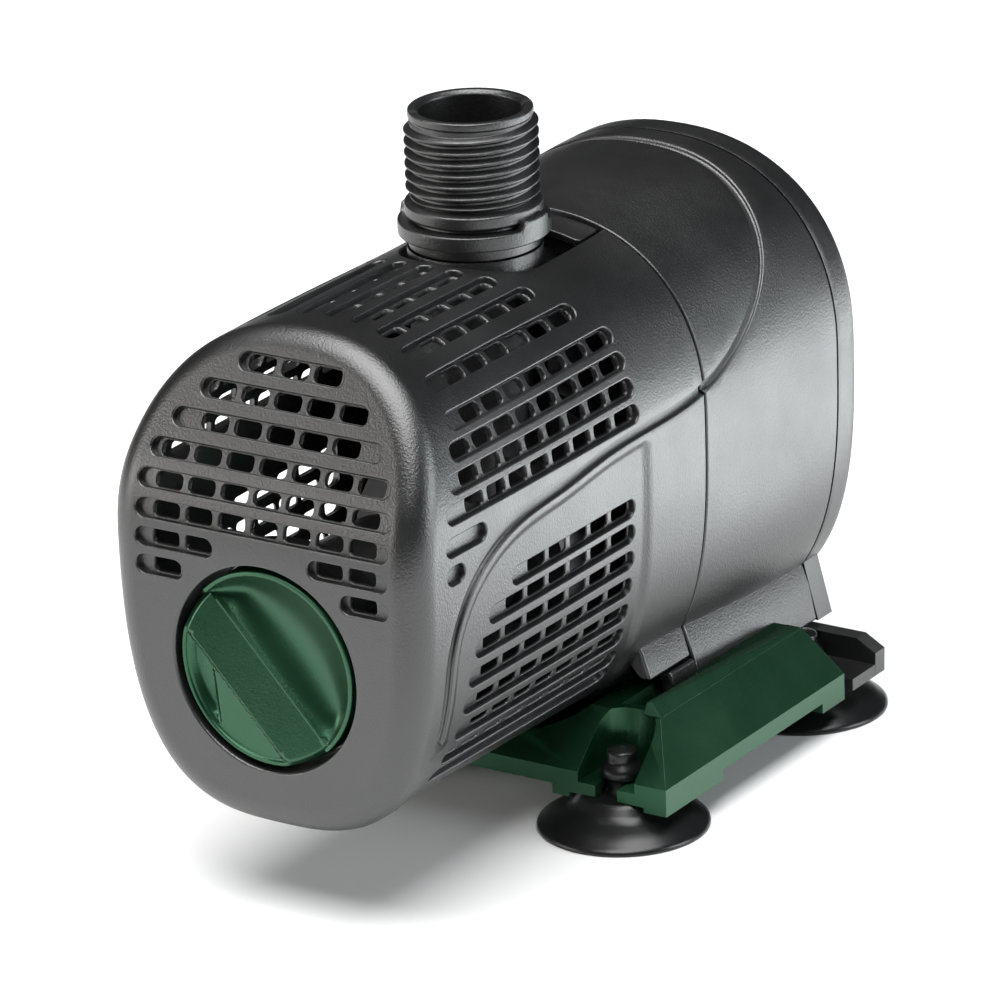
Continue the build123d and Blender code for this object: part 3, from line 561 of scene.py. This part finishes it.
def rounded_loop(length, height, radius, corner_steps=5, spacing=2.4):
    """Rounded rectangle about the origin: its points and the directions towards its inside."""
    half_x, half_y = length / 2 - radius, height / 2 - radius
    points, inward = [], []
    corners = ((half_x, half_y, 0), (-half_x, half_y, 90), (-half_x, -half_y, 180), (half_x, -half_y, 270))
    for x, y, start in corners:
        for k in range(corner_steps + 1):
            turn = radians(start + 90 * k / corner_steps)
            point = np.array((x + radius * cos(turn), y + radius * sin(turn)))
            if points and np.hypot(*(point - points[-1])) < 1e-6:
                continue
            if points and k == 0:
                gap = point - points[-1]
                count = int(np.hypot(*gap) / spacing)
                before = points[-1]
                for i in range(1, count + 1):
                    points.append(before + gap * i / (count + 1))
                    inward.append((-cos(turn), -sin(turn)))
            points.append(point)
            inward.append((-cos(turn), -sin(turn)))
    if np.hypot(*(points[0] - points[-1])) < 1e-6:
        points.pop()
        inward.pop()
    return np.array(points), np.array(inward)


def window_centres(start, end):
    """Window places along a row, counted from its rear end."""
    count = int((end - start - 2 * ROW_MARGIN + PITCH - WINDOW_ROOM) / PITCH)
    return [end - ROW_MARGIN - WINDOW_ROOM / 2 - i * PITCH for i in range(count)]


def strainer_row(cloth, lay, turn, start, end, centres):
    """One slot with its windows: returns its rim, and the windows' rims on the inside."""
    base, inward = rounded_loop(end - start, SLOT_HEIGHT, SLOT_HEIGHT / 2)
    flat, toward = lay(base + ((start + end) / 2, 0)), turn(inward)
    rings = cloth.hole(flat, toward, SLOT_STEPS)
    floor = cloth.ring(flat + toward * 0.08, FLOOR)
    cloth.build.strip(rings[-1], floor)
    openings, inner = [], []
    for centre in centres:
        base, inward = rounded_loop(*WINDOW, WINDOW_CORNER, corner_steps=3)
        flat, toward = lay(base + (centre, 0)), turn(inward)
        openings.append(cloth.hole(flat, toward, WINDOW_STEPS)[0])
        inner.append(cloth.ring(flat + toward * 0.04, WALL, inner=True))
    cloth.patch(floor, openings, depth=FLOOR)
    return rings[0], inner


def face_rows(cloth):
    """Every row on the face: the slots' rims, and the windows' rims on the inside."""
    rims, inner = [], []

    def add(height, start, end, centres):
        w = face_w(AXIS_Z + height)
        rim, windows = strainer_row(cloth, lambda at: at + (0, w), lambda way: way, start, end, centres)
        rims.append(rim)
        inner.extend(windows)

    for height, half, last in FACE_ROWS:
        add(height, -half, half, [i * PITCH for i in range(-last, last + 1)])
    for height, near, far in FACE_SHORT_ROWS:
        count = int((far - near) / PITCH)
        for side in (-1, 1):
            start, end = sorted((side * near, side * far))
            add(height, start, end, [side * (3 - i) * PITCH for i in range(count)])
    return rims, inner


def side_rows(cloth):
    """Every row on the sides and the top: the slots' rims, and the windows' rims on the inside."""
    rims, inner = [], []

    def add(row_u, start, end, centres):
        for mirror in (False, True):
            def lay(at):
                u = row_u(at[:, 0]) + at[:, 1]
                return np.column_stack((FULL_U - u if mirror else u, at[:, 0]))

            def turn(way):
                return np.column_stack((-way[:, 1] if mirror else way[:, 1], way[:, 0]))

            rim, windows = strainer_row(cloth, lay, turn, start, end, centres)
            rims.append(rim)
            inner.extend(windows)

    rows = [(z, 7 + 1.25 * face_s(AXIS_Z + z), SIDE_UPPER_END, True) for z in SIDE_UPPER_ROWS]
    rows += [(z, SIDE_STUB_FRONT, rear, False) for z, rear in SIDE_STUB_ROWS]
    rows += [(z, front, SIDE_LOWER_END, True) for z, front in SIDE_LOWER_ROWS]
    for height, start, end, has_windows in rows:
        centres = window_centres(start, end) if has_windows else []
        add(lambda s, z=AXIS_Z + height: u_at_height(z, s), start, end, centres)
    for i in range(-TOP_ROWS_EACH_SIDE, TOP_ROWS_EACH_SIDE + 1):
        x = i * TOP_PITCH
        start, end = TOP_FRONT - TOP_FRONT_BEND * x * x, TOP_REAR + TOP_REAR_BEND * x * x
        rim, windows = strainer_row(
            cloth,
            lambda at, x=x: np.column_stack((u_at_x(x, at[:, 0]) + at[:, 1], at[:, 0])),
            lambda way: np.column_stack((way[:, 1], way[:, 0])),
            start, end, window_centres(start, end))
        rims.append(rim)
        inner.extend(windows)
    return rims, inner


def edge_points(s, end):
    """Pattern u of points along an edge at s, closer together where the band crosses it."""
    crossing = PATH[np.abs(PATH[:, 1] - s).argmin(), 0]
    return np.concatenate((np.arange(0, crossing - 1.5, 1.3), crossing + np.arange(-1.2, 1.3, 0.2),
                           np.arange(crossing + 1.9, end, 1.3)))


def rear_edge(s_end):
    """Rear edge of the cover with the cut-out for the outlet: pattern points and ways off it."""
    notch_u = float(u_at_x(CUTOUT_R, s_end))
    right = [(value, s_end) for value in (*edge_points(s_end, notch_u - 0.3), notch_u)]
    right += [(float(u_at_x(CUTOUT_R, s)), s) for s in np.arange(s_end - 1.2, OUTLET_S + 0.5, -1.2)]
    for turn in np.linspace(0, pi / 2, 19):
        s = OUTLET_S - CUTOUT_R * sin(turn)
        right.append((float(u_at_x(CUTOUT_R * cos(turn), s)), s))
    right = np.array(right)
    left = right[:-1][::-1] * (-1, 1) + (FULL_U, 0)
    flat = np.concatenate((right, left))
    away = leftward(np.diff(flat, axis=0))
    before, after = np.vstack((away[:1], away)), np.vstack((away, away[-1:]))
    toward = before + after
    toward /= np.hypot(*toward.T)[:, None]
    toward /= (toward * after).sum(1)[:, None]
    return flat, toward


def mirrored(cloth, line):
    """Vertices along a pattern line and along its mirror image on the left side."""
    return [cloth.ring(line), cloth.ring(line * (-1, 1) + (FULL_U, 0))]


def groove_lines(cloth, low_s, high_s, offsets):
    """Pattern lines along both edges of the band, on both sides of the body."""
    across = leftward(np.gradient(PATH, axis=0))
    lines = []
    for offset in offsets:
        line = (PATH + across * offset)[::3]
        line = line[(line[:, 1] > low_s) & (line[:, 1] < high_s) & (line[:, 0] < TOP_U - 0.5)]
        lines += mirrored(cloth, line)
    return lines


def panel_lines(cloth):
    """Pattern lines along the rear edge of the shallow panel, on both sides of the body."""
    lines = []
    for s in (62.3, 63.1, 63.9, 64.7, 65.3):
        u = np.arange(3.0, PATH[np.abs(PATH[:, 1] - s).argmin(), 0] - 1.6, 1.5)
        line = np.column_stack((u, np.full(len(u), s)))
        lines += mirrored(cloth, line)
    return lines


def seam_lines(cloth, front_s, rear_s, **kind):
    """Vertices up both sides of the pattern's seam under the body."""
    s = np.arange(front_s + 1.5, rear_s - 1.0, 3.0)
    near = cloth.ring(np.column_stack((np.zeros(len(s)), s)), **kind)
    far = cloth.ring(np.column_stack((np.full(len(s), FULL_U), s)), **kind)
    return near, far


def cover_rim(side, face):
    """Pattern lines on the side and on the face that the rounded front edge runs between."""
    u = np.linspace(0, FULL_U, RIM_POINTS + 1)
    angle = np.interp(u, ARC, ANGLES)
    s = np.zeros(RIM_POINTS + 1)
    for _ in range(RIM_ROUNDS):
        z = MID_Z + polar_radius(angle, s) * np.sin(angle)
        s = face_s(z)
    x = polar_radius(angle, s) * np.cos(angle)
    on_face = np.column_stack((x, face_w(z)))
    side_normal = side.frame(np.column_stack((u, s)), False)[1]
    face_normal = face.frame(on_face, False)[1]
    half_angle = np.arccos(np.clip((side_normal * face_normal).sum(1), -1, 1)) / 2
    reach = RIM_R * np.tan(half_angle)
    on_side = np.column_stack((u, s + reach * np.hypot(1, np.gradient(s, u))))
    ahead = np.roll(on_face[:-1], -1, 0) - np.roll(on_face[:-1], 1, 0)
    on_face = on_face[:-1] + leftward(ahead) * reach[:-1, None]
    corner = side_surface(np.column_stack((u, s)))[:-1]
    return on_side, on_face, corner, np.cos(half_angle)[:-1]


def front_edge(build, on_side, on_face, corner, weight, side_ring, face_ring):
    """Rounded edge between the side and the face."""
    steps = RIM_STEPS
    a, c = side_surface(on_side[:-1]), face_surface(on_face)
    grid = []
    for k in range(steps + 1):
        t = k / steps
        parts = (1 - t) ** 2, 2 * weight * t * (1 - t), t ** 2
        total = parts[0] + parts[1] + parts[2]
        grid.append((a * parts[0] + corner * parts[1][:, None] + c * parts[2]) / total[:, None])
    grid = np.array(grid)
    over = np.gradient(grid, axis=0)
    along = np.roll(grid, -1, 1) - np.roll(grid, 1, 1)
    normals = np.cross(over, along)
    normals /= np.linalg.norm(normals, axis=2)[:, :, None]
    centre = np.array((0, 40.0, MID_Z))
    normals *= np.sign(((grid - centre) * normals).sum(2))[:, :, None]
    last = side_ring[:-1]
    for k in range(1, steps):
        ids = build.add(grid[k], normals[k])
        build.strip(last, ids)
        last = ids
    build.strip(last, face_ring)


def knob_hole(face):
    """Round opening for the knob with the collar behind it: returns its rims outside and inside."""
    turn = np.linspace(0, 2 * pi, 97)[:-1]
    inward = np.column_stack((-np.cos(turn), -np.sin(turn)))
    base = np.array((0, AXIS_Z)) - inward * KNOB_HOLE_R
    wide = base - inward * KNOB_COLLAR_WALL
    rings = face.hole(base, inward, KNOB_HOLE_STEPS)
    end_near = face.ring(base, KNOB_COLLAR_DEPTH, inner=True)
    end_far = face.ring(wide, KNOB_COLLAR_DEPTH, inner=True)
    face.build.strip(end_near, end_far)
    face.hole(wide, -inward, [(0.0, KNOB_COLLAR_DEPTH, 90), (0.0, WALL, 90)])
    return rings[0], face.ring(wide, WALL, inner=True)


def make_cover():
    """Strainer cover: face, rounded front edge, sides and the inside."""
    build = Build()
    side = Cloth(build, side_surface, side_relief, 1)
    face = Cloth(build, face_surface, no_relief, -1)
    on_side, on_face, corner, weight = cover_rim(side, face)
    side_ring, face_ring = side.ring(on_side), face.ring(on_face)
    front_edge(build, on_side, on_face, corner, weight, side_ring, face_ring)

    rims, windows = face_rows(face)
    knob_outer, knob_inner = knob_hole(face)
    face.patch(face_ring, rims + [knob_outer], spacing=(2.6, 2.0))
    inner_face = face.ring(on_face, WALL, inner=True)
    face.patch(inner_face, windows + [knob_inner], spacing=(5.0, 3.0), depth=WALL, inner=True)

    rims, windows = side_rows(side)
    edge, away = rear_edge(REAR_S)
    rings = side.hole(edge, away, EDGE_STEPS, closed=False)
    near, far = seam_lines(side, on_side[0, 1], REAR_S - 0.35)
    boundary = np.concatenate((side_ring, far, rings[0][::-1], near[::-1]))
    lines = groove_lines(side, 7.0, REAR_S - 1.2, BAND_EDGES + PANEL_EDGES) + panel_lines(side)
    side.patch(boundary, rims, lines, spacing=(1.7, 2.6))
    inner_front = side.ring(on_side, WALL, inner=True)
    build.strip(inner_front[:-1], inner_face)
    inner_rear = side.ring(edge, WALL, inner=True)
    near, far = seam_lines(side, on_side[0, 1], REAR_S, depth=WALL, inner=True)
    boundary = np.concatenate((inner_front, far, inner_rear[::-1], near[::-1]))
    side.patch(boundary, windows, spacing=(3.0, 5.0), depth=WALL, inner=True)
    build.to_object("strainer_cover_shell", "black_plastic", "cover", "strainer_cover")


def sweep_piece(name, outlines, stations, radius, body, material, node=None):
    """Moulding on both sides of the body: an outline in X and Z at each of the stations."""
    vertices, faces = [], []
    count, rows = len(outlines[0]), len(stations)
    for side in (-1, 1):
        start = len(vertices)
        for s, outline in zip(stations, outlines):
            vertices += [(side * x * MM, (FRONT + s) * MM, z * MM) for x, z in outline]
        for row in range(rows - 1):
            for k in range(count):
                a, b = start + row * count + k, start + row * count + (k + 1) % count
                quad = (a, b, b + count, a + count)
                faces.append(quad if side > 0 else quad[::-1])
        front = tuple(range(start, start + count))
        back = tuple(range(start + (rows - 1) * count, start + rows * count))
        faces += [front[::-1], back] if side > 0 else [front, back[::-1]]
    mesh = bpy.data.meshes.new(name)
    mesh.from_pydata(vertices, [], faces)
    mesh.materials.append(MATERIALS[material])
    mesh.shade_smooth()
    piece = new_object(name, mesh)
    round_edges(piece, radius)
    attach(piece, body)
    if node:
        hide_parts(node)


SKIRT_EDGE = 0.5
# outlines in X and Z of the right one of each pair
COVER_SKIRT = [(21.5, 29.5), (24.6, 24.2), (26.0, 19.9), (24.0, 19.7), (20.0, 24.0)]
HOUSING_SKIRT = [(21.8, 29.5), (24.6, 24.0), (26.3, 19.6), (27.6, 13.6), (25.2, 13.4), (20.0, 24.0)]
SKIRT_LIP = [(26.1, 19.4), (27.5, 13.6), (25.1, 13.4), (23.6, 19.2)]

make_cover()
sweep_piece("strainer_cover_skirt", [COVER_SKIRT] * 3, (67.6, 74.0, REAR_S), SKIRT_EDGE, "cover",
            "black_plastic", "strainer_cover")


# ---------------------------------------------------------------- motor housing
HOUSING_FRONT_S, HOUSING_REAR_S = SEAM_S + SEAM_GAP, 116.4
SPIGOT_FRONT_S = 75.2     # the spigot reaches into the cover
SPIGOT_GAP, SPIGOT_WALL = 0.4, 1.8
BULKHEAD_S = 79.0
BULKHEAD_BORE_R, BULKHEAD_BORE_LENGTH = 11.25, 6.0
TONGUE = (22.0, 6.0, 1.0)
TONGUE_S = 77.6
TONGUE_STEPS = [(-0.3, 0.9, 0), (-0.09, 0.99, 45), (0.0, 1.2, 85), (0.0, 2.0, 88)]


def wall_strip(build, a, b, facing):
    """Band between two rows of points; facing gives the side that its normals point to."""
    normals = np.cross(b - a, np.gradient(a, axis=0))
    normals /= np.maximum(np.linalg.norm(normals, axis=1), 1e-9)[:, None]
    normals *= np.sign((normals * facing).sum(1))[:, None]
    build.strip(build.add(a, normals), build.add(b, normals), closed=False)


def make_housing():
    """Shell with the band running over it, and the bulkhead that the cover slides on to."""
    build = Build()
    cloth = Cloth(build, side_surface, side_relief, 1)
    half = edge_points(HOUSING_FRONT_S, TOP_U)
    u = np.concatenate((half, FULL_U - half[::-1]))
    ahead = np.tile((0.0, -1.0), (len(u), 1))

    def across(s):
        return np.column_stack((u, np.full(len(u), s)))

    def row(s, depth):
        point, normal, _, _ = cloth.frame(across(s), False)
        return point - normal * depth, normal

    front = cloth.hole(across(HOUSING_FRONT_S), ahead, EDGE_STEPS, closed=False)
    rear = cloth.hole(across(HOUSING_REAR_S), -ahead, EDGE_STEPS, closed=False)
    near, far = seam_lines(cloth, HOUSING_FRONT_S, HOUSING_REAR_S)
    boundary = np.concatenate((front[0], far, rear[0][::-1], near[::-1]))
    lines = groove_lines(cloth, HOUSING_FRONT_S + 0.9, 112.0, BAND_EDGES)
    cloth.patch(boundary, lines=lines, spacing=(1.7, 2.4))

    forward = np.array((0.0, -1.0, 0.0))
    spigot_out = WALL + SPIGOT_GAP
    spigot_in = spigot_out + SPIGOT_WALL
    lip, _ = row(HOUSING_FRONT_S, WALL - 0.1)
    root, out = row(HOUSING_FRONT_S, spigot_out)
    tip, _ = row(SPIGOT_FRONT_S, spigot_out)
    tip_in, _ = row(SPIGOT_FRONT_S, spigot_in)
    floor, _ = row(BULKHEAD_S, spigot_in)
    turn = np.arctan2(floor[:, 2] - AXIS_Z, floor[:, 0])
    bore = np.column_stack((np.cos(turn), np.zeros(len(u)), np.sin(turn))) * BULKHEAD_BORE_R
    bore += (0, BULKHEAD_S, AXIS_Z)
    bore_end = bore + (0, BULKHEAD_BORE_LENGTH, 0)
    wall_strip(build, lip, root, forward)
    wall_strip(build, root, tip, out)
    wall_strip(build, tip, tip_in, forward)
    wall_strip(build, tip_in, floor, -out)
    wall_strip(build, floor, bore, forward)
    wall_strip(build, bore, bore_end, -out)
    build.to_object("motor_housing_shell", "black_plastic", "housing", "motor_housing")


def make_tongue():
    """Tongue of the housing that fills the cover's cut-out behind the outlet."""
    build = Build()
    cloth = Cloth(build, side_surface, no_relief, 1)
    outline, inward = rounded_loop(*TONGUE)
    rings = cloth.hole(outline + (TOP_U, TONGUE_S), -inward, TONGUE_STEPS)
    cloth.patch(rings[0], spacing=(2.0, 2.0), depth=TONGUE_STEPS[0][1])
    build.to_object("motor_housing_tongue", "black_plastic", "housing", "motor_housing")


# ---------------------------------------------------------------- sled
SHOULDER_S = (60.8, 82.0, 103.8)
SLED_FRONT_S, SLED_REAR_S = 60.6, 104.0
SLED_WALL_X, SLED_WALL_Z = 32.0, 17.3   # upper outer edge of the sled's side wall
SLED_SLOPE = 0.77                       # how far the wall leans in as it rises


def sled_shoulder(s):
    """Section of the ridge on the sled's side wall, which carries the slope on up to the skirt."""
    height = 0.25 + 2.1 * (SLED_REAR_S - s) / (SLED_REAR_S - SLED_FRONT_S)
    top, low = SLED_WALL_Z + height, SLED_WALL_Z - 0.1
    return [(SLED_WALL_X - SLED_SLOPE * height, top), (29.4, top), (28.7, low), (SLED_WALL_X + 0.06, low)]


# ---------------------------------------------------------------- knob
KNOB_R = 15.6
KNOB_BACK_S = 9.7
KNOB_CIRCLES = (15.0, 14.87, 14.75, 14.3, 13.85, 13.4)
GRIP_REACH = 13.2         # the fine grid reaches this far from the knob's centre
KNOB_TOP = 0.3            # how far the knob's rim lies behind the face
GRIP = radians(47)        # the grip bar dips this much to the right
BAR_EDGE = -7.3           # across the bar: its high edge, and the low edge where the scoop starts
BAR_CREST = -0.6
BAR_HIGH, BAR_LOW = -0.27, 1.7  # depth of those two edges under the rim


def knob_relief(pattern):
    """Depth of the grip bar, the shallow pocket left of it and the scoop right of it."""
    x, z = pattern[:, 0], pattern[:, 1] - AXIS_Z
    along, across = x * cos(GRIP) - z * sin(GRIP), x * sin(GRIP) + z * cos(GRIP)
    r = np.hypot(x, z)
    rim = smooth(14.75, 15.0, r)
    edge = BAR_EDGE + 0.07 * np.sin(along * 2 * pi / 1.5)
    bar = BAR_HIGH + (BAR_LOW - BAR_HIGH) * (across - BAR_EDGE) / (BAR_CREST - BAR_EDGE)
    bar -= 0.12 * np.exp(-((across - BAR_CREST) / 0.18) ** 2)
    bar += 1.1 * smooth(14.3, 15.9, r)
    moon = smooth(-10.0, -11.4, x + 0.10 * z) * smooth(14.6, 13.4, r) * smooth(-8.4, -9.2, across)
    pocket = (0.65 + 1.3 * moon) * (1 - rim) + 0.15 * rim
    chamfer = np.clip((across - edge + 1.15) / 1.15, 0, 1)
    left = pocket * (1 - chamfer) + bar * chamfer
    chord = np.sqrt(np.maximum(15.0 ** 2 - along ** 2, 0.01)) - BAR_CREST
    share = np.clip((across - BAR_CREST) / chord, 0, 1)
    bowl = BAR_LOW * (1 - share) + 3.4 * smooth(1.0, 11.0, chord) * np.sin(pi * share ** 0.8)
    right = bowl * (1 - rim) + 0.1 * rim
    return np.where(across < BAR_CREST, left, right - 0.12 * np.exp(-((across - BAR_CREST) / 0.18) ** 2))


def knob_surface(pattern):
    """Pattern x and z."""
    return np.column_stack((pattern[:, 0], np.full(len(pattern), KNOB_TOP), pattern[:, 1]))


def make_knob():
    """Flow knob: its top with the grip bar, its side and its back."""
    build = Build()
    cloth = Cloth(build, knob_surface, knob_relief, -1)
    turn = np.linspace(0, 2 * pi, 145)[:-1]
    away = np.column_stack((np.cos(turn), np.sin(turn)))
    base = away * KNOB_R + (0, AXIS_Z)
    rings = cloth.hole(base, away, [(-0.35, 0.0, 0), (-0.1, 0.1, 45), (0.0, 0.35, 85)])
    straight = build.add(
        np.column_stack((base[:, 0], np.full(len(base), KNOB_BACK_S), base[:, 1])),
        np.column_stack((away[:, 0], np.zeros(len(base)), away[:, 1])), base)
    build.strip(rings[-1], straight)
    lines = []
    for radius in KNOB_CIRCLES:
        circle = np.vstack((away, away[:1])) * radius
        lines.append(cloth.ring(circle + (0, AXIS_Z)))
    fine = [BAR_EDGE + offset for offset in (-1.3, -1.15, -0.8, -0.4, -0.1, 0.1)]
    fine += [BAR_CREST + offset for offset in (-0.4, -0.2, 0, 0.2, 0.4)]
    coarse = [q for q in np.arange(-13.0, GRIP_REACH, 0.45) if min(abs(q - line) for line in fine) > 0.22]
    grid = []
    for q in fine + coarse:
        reach = sqrt(GRIP_REACH ** 2 - q * q)
        for p in np.arange(-reach, reach, 0.3 if q in fine else 0.5):
            grid.append((p * cos(GRIP) + q * sin(GRIP), -p * sin(GRIP) + q * cos(GRIP) + AXIS_Z))
    cloth.patch(rings[0], lines=lines, spacing=(0.3, 0.3), grid=np.array(grid))
    back = build.add(np.array(build.points)[straight], np.tile((0.0, 1.0, 0.0), (len(straight), 1)), base)
    middle = build.add([(0, KNOB_BACK_S, AXIS_Z)], [(0, 1, 0)])[0]
    for a, b in zip(back, np.roll(back, -1)):
        build.faces.append((a, b, middle))
    build.to_object("flow_knob_moulding", "green_plastic", "knob", "flow_knob")


# ---------------------------------------------------------------- outlet
THREAD_PITCH = 1.814
CREST_R, ROOT_R = 10.48, 9.45
OUTLET_TOP = AXIS_Z + 71.7
THREAD_TOP = OUTLET_TOP - 1.7
THREAD_TURNS = 7
THREAD_LOW = THREAD_TOP - THREAD_TURNS * THREAD_PITCH
FLANGE_Z = AXIS_Z + 51.7
FLANGE_R = 11.95
FLANGE_TOP = FLANGE_Z + 2.4
LUG_RISE = 1.4
NECK_R, COLLAR_R, THREAD_END_R = 9.7, 10.8, 9.75
BORE_R, BORE_LOW_R = 8.05, 6.4
OUTLET_COLUMNS = 180
THREAD_ROW = 0.11         # height of one row of faces on the thread


def rounded_profile(corners, steps=3):
    """Profile points with each corner replaced by a short arc: corners are r, z, radius."""
    points = []
    for i, (r, z, radius) in enumerate(corners):
        here = np.array((r, z))
        if radius == 0 or i in (0, len(corners) - 1):
            points.append(here)
            continue
        before = np.array(corners[i - 1][:2]) - here
        after = np.array(corners[i + 1][:2]) - here
        a = here + before / np.hypot(*before) * radius
        b = here + after / np.hypot(*after) * radius
        for k in range(steps + 1):
            t = k / steps
            points.append((1 - t) ** 2 * a + 2 * t * (1 - t) * here + t * t * b)
    return points


def make_outlet():
    """Outlet: flange with two lugs, collar, one true helix and the bore."""
    columns = OUTLET_COLUMNS
    turn = np.linspace(0, 2 * pi, columns + 1)[:-1]
    lug = 1 - smooth(0.25, 0.31, np.abs(np.sin(turn)))
    low = [(10.3, AXIS_Z + 49.9, 0), (10.3, FLANGE_Z, 0.2), (FLANGE_R, FLANGE_Z, 0.35),
           (FLANGE_R, FLANGE_TOP, 0.35), (NECK_R, FLANGE_TOP, 0.3), (NECK_R, THREAD_LOW - 2.6, 0.3),
           (COLLAR_R, THREAD_LOW - 2.3, 0.3), (COLLAR_R, THREAD_LOW - 0.5, 0.3), (ROOT_R, THREAD_LOW, 0)]
    high = [(ROOT_R, THREAD_TOP, 0), (ROOT_R, THREAD_TOP + 0.3, 0.2), (THREAD_END_R, THREAD_TOP + 0.55, 0.15),
            (THREAD_END_R, OUTLET_TOP, 0.35), (BORE_R + 0.5, OUTLET_TOP, 0.2),
            (BORE_R, OUTLET_TOP - 0.6, 0.2), (BORE_R, FLANGE_Z, 0), (BORE_LOW_R, FLANGE_Z - 0.4, 0),
            (BORE_LOW_R, AXIS_Z + 40.4, 0)]
    rows = []
    for r, z in rounded_profile(low):
        lifted = np.full(columns, z)
        if abs(z - FLANGE_TOP) < 0.4 and r > NECK_R + 0.1:
            lifted = z + LUG_RISE * lug
        rows.append((np.full(columns, r), lifted))
    for z in np.arange(THREAD_LOW + 0.1, THREAD_TOP - 0.05, THREAD_ROW):
        phase = ((z - THREAD_LOW) / THREAD_PITCH - turn / (2 * pi)) % 1.0
        height = np.clip(1.75 * (1 - np.abs(2 * phase - 1)) - 0.42, 0, 1)
        fade = smooth(0.0, 1.0, z - THREAD_LOW) * smooth(0.0, 0.7, THREAD_TOP - z)
        rows.append((ROOT_R + (CREST_R - ROOT_R) * height * fade, np.full(columns, z)))
    rows += [(np.full(columns, r), np.full(columns, z)) for r, z in rounded_profile(high)]
    grid = np.array([np.column_stack((r * np.cos(turn), OUTLET_S + r * np.sin(turn), z)) for r, z in rows])
    build = Build()
    up = np.gradient(grid, axis=0)
    around = np.roll(grid, -1, 1) - np.roll(grid, 1, 1)
    normals = np.cross(around, up)
    normals /= np.maximum(np.linalg.norm(normals, axis=2), 1e-9)[:, :, None]
    last = None
    for points, normal in zip(grid, normals):
        ids = build.add(points, normal)
        if last is not None:
            build.strip(last, ids)
        last = ids
    build.to_object("outlet_fitting_thread", "black_plastic", "housing", "outlet_fitting")


make_housing()
make_tongue()
sweep_piece("motor_housing_skirt", [HOUSING_SKIRT] * 3, (HOUSING_FRONT_S, 98.0, HOUSING_REAR_S), SKIRT_EDGE,
            "housing", "black_plastic", "motor_housing")
sweep_piece("motor_housing_lip", [SKIRT_LIP] * 3, (73.2, 76.0, SEAM_S + 1.0), SKIRT_EDGE,
            "housing", "black_plastic", "motor_housing")
sweep_piece("base_sled_shoulder", [sled_shoulder(s) for s in SHOULDER_S], SHOULDER_S, 0.4,
            "sled", "green_plastic")
make_knob()
make_outlet()


# ---------------------------------------------------------------- stage
VIEW_AZIMUTH, VIEW_ELEVATION, VIEW_ROLL = 33.57, 20.57, -2.09
VIEW_TARGET = (10.49, FRONT + 50.0, AXIS_Z + 12.59)
VIEW_DISTANCE = 1.08264
LENS = 252.0
FLOOR_HALF = 3.0
FLOOR_SPLIT = -0.42       # the floor in front of this Y isn't reflected
COOL, WARM = (0.92, 0.98, 1.0), (1.0, 0.97, 0.94)
GLOOM = 0.045, 0.046, 0.048


def make_camera():
    azimuth, elevation, roll = radians(VIEW_AZIMUTH), radians(VIEW_ELEVATION), radians(VIEW_ROLL)
    back = Vector((sin(azimuth) * cos(elevation), -cos(azimuth) * cos(elevation), sin(elevation)))
    right = Vector((cos(azimuth), sin(azimuth), 0))
    up = back.cross(right)
    right, up = right * cos(roll) + up * sin(roll), up * cos(roll) - right * sin(roll)
    target = Vector(VIEW_TARGET) * MM
    data = bpy.data.cameras.new("camera")
    data.lens = LENS
    data.sensor_width = 36.0
    data.clip_end = 20.0
    camera = new_object("camera", data)
    rotation = Matrix((right, up, back)).transposed().to_4x4()
    camera.matrix_world = Matrix.Translation(target + back * VIEW_DISTANCE) @ rotation
    bpy.context.scene.camera = camera


def area_light(name, place, aim, size, power, tint=(1.0, 1.0, 1.0)):
    """Soft rectangular light that the camera doesn't see."""
    data = bpy.data.lights.new(name, "AREA")
    data.energy = power
    data.color = tint
    data.shape = "RECTANGLE"
    data.size, data.size_y = size
    lamp = new_object(name, data)
    lamp.location = place
    lamp.rotation_euler = (Vector(aim) - Vector(place)).to_track_quat("-Z", "Y").to_euler()
    lamp.visible_camera = False


def floor_part(name, near, far, material):
    """Strip of the floor between two distances along Y."""
    half = FLOOR_HALF
    mesh = bpy.data.meshes.new(name)
    mesh.from_pydata([(-half, near, 0), (half, near, 0), (half, far, 0), (-half, far, 0)], [], [(0, 1, 2, 3)])
    mesh.materials.append(material)
    floor = new_object(name, mesh)
    return floor


def make_floor():
    """Pale floor; its front part isn't reflected, so that the face and its rim stay dark."""
    material = bpy.data.materials.new("floor")
    material.use_nodes = True
    shader = material.node_tree.nodes["Principled BSDF"]
    shader.inputs["Base Color"].default_value = (0.93, 0.93, 0.93, 1.0)
    shader.inputs["Roughness"].default_value = 0.9
    shader.inputs["Specular IOR Level"].default_value = 0.1
    floor_part("floor", FLOOR_SPLIT, FLOOR_HALF, material)
    front = floor_part("floor_front", -FLOOR_HALF, FLOOR_SPLIT, material)
    front.visible_glossy = False
    front.visible_diffuse = False


def make_lights():
    area_light("overhead", (0.0, -0.22, 1.1), (0, 0, 0), (1.2, 1.1), 28.0)
    area_light("front_left", (-0.80, -0.80, 0.30), (0, 0, 0.05), (0.6, 0.5), 4.8, WARM)
    area_light("right", (0.90, 0.30, 0.32), (0.05, 0.0, 0.02), (0.5, 0.5), 5.0, COOL)
    area_light("low_right", (0.21, 0.21, 0.004), (0.21, 0.21, 1.0), (0.28, 0.30), 1.1, COOL)
    world = bpy.data.worlds.new("world")
    bpy.context.scene.world = world
    world.use_nodes = True
    background = world.node_tree.nodes["Background"]
    background.inputs["Color"].default_value = (*GLOOM, 1.0)
    background.inputs["Strength"].default_value = 1.0
    bpy.context.scene.view_settings.view_transform = "Standard"


make_camera()
make_lights()
make_floor()
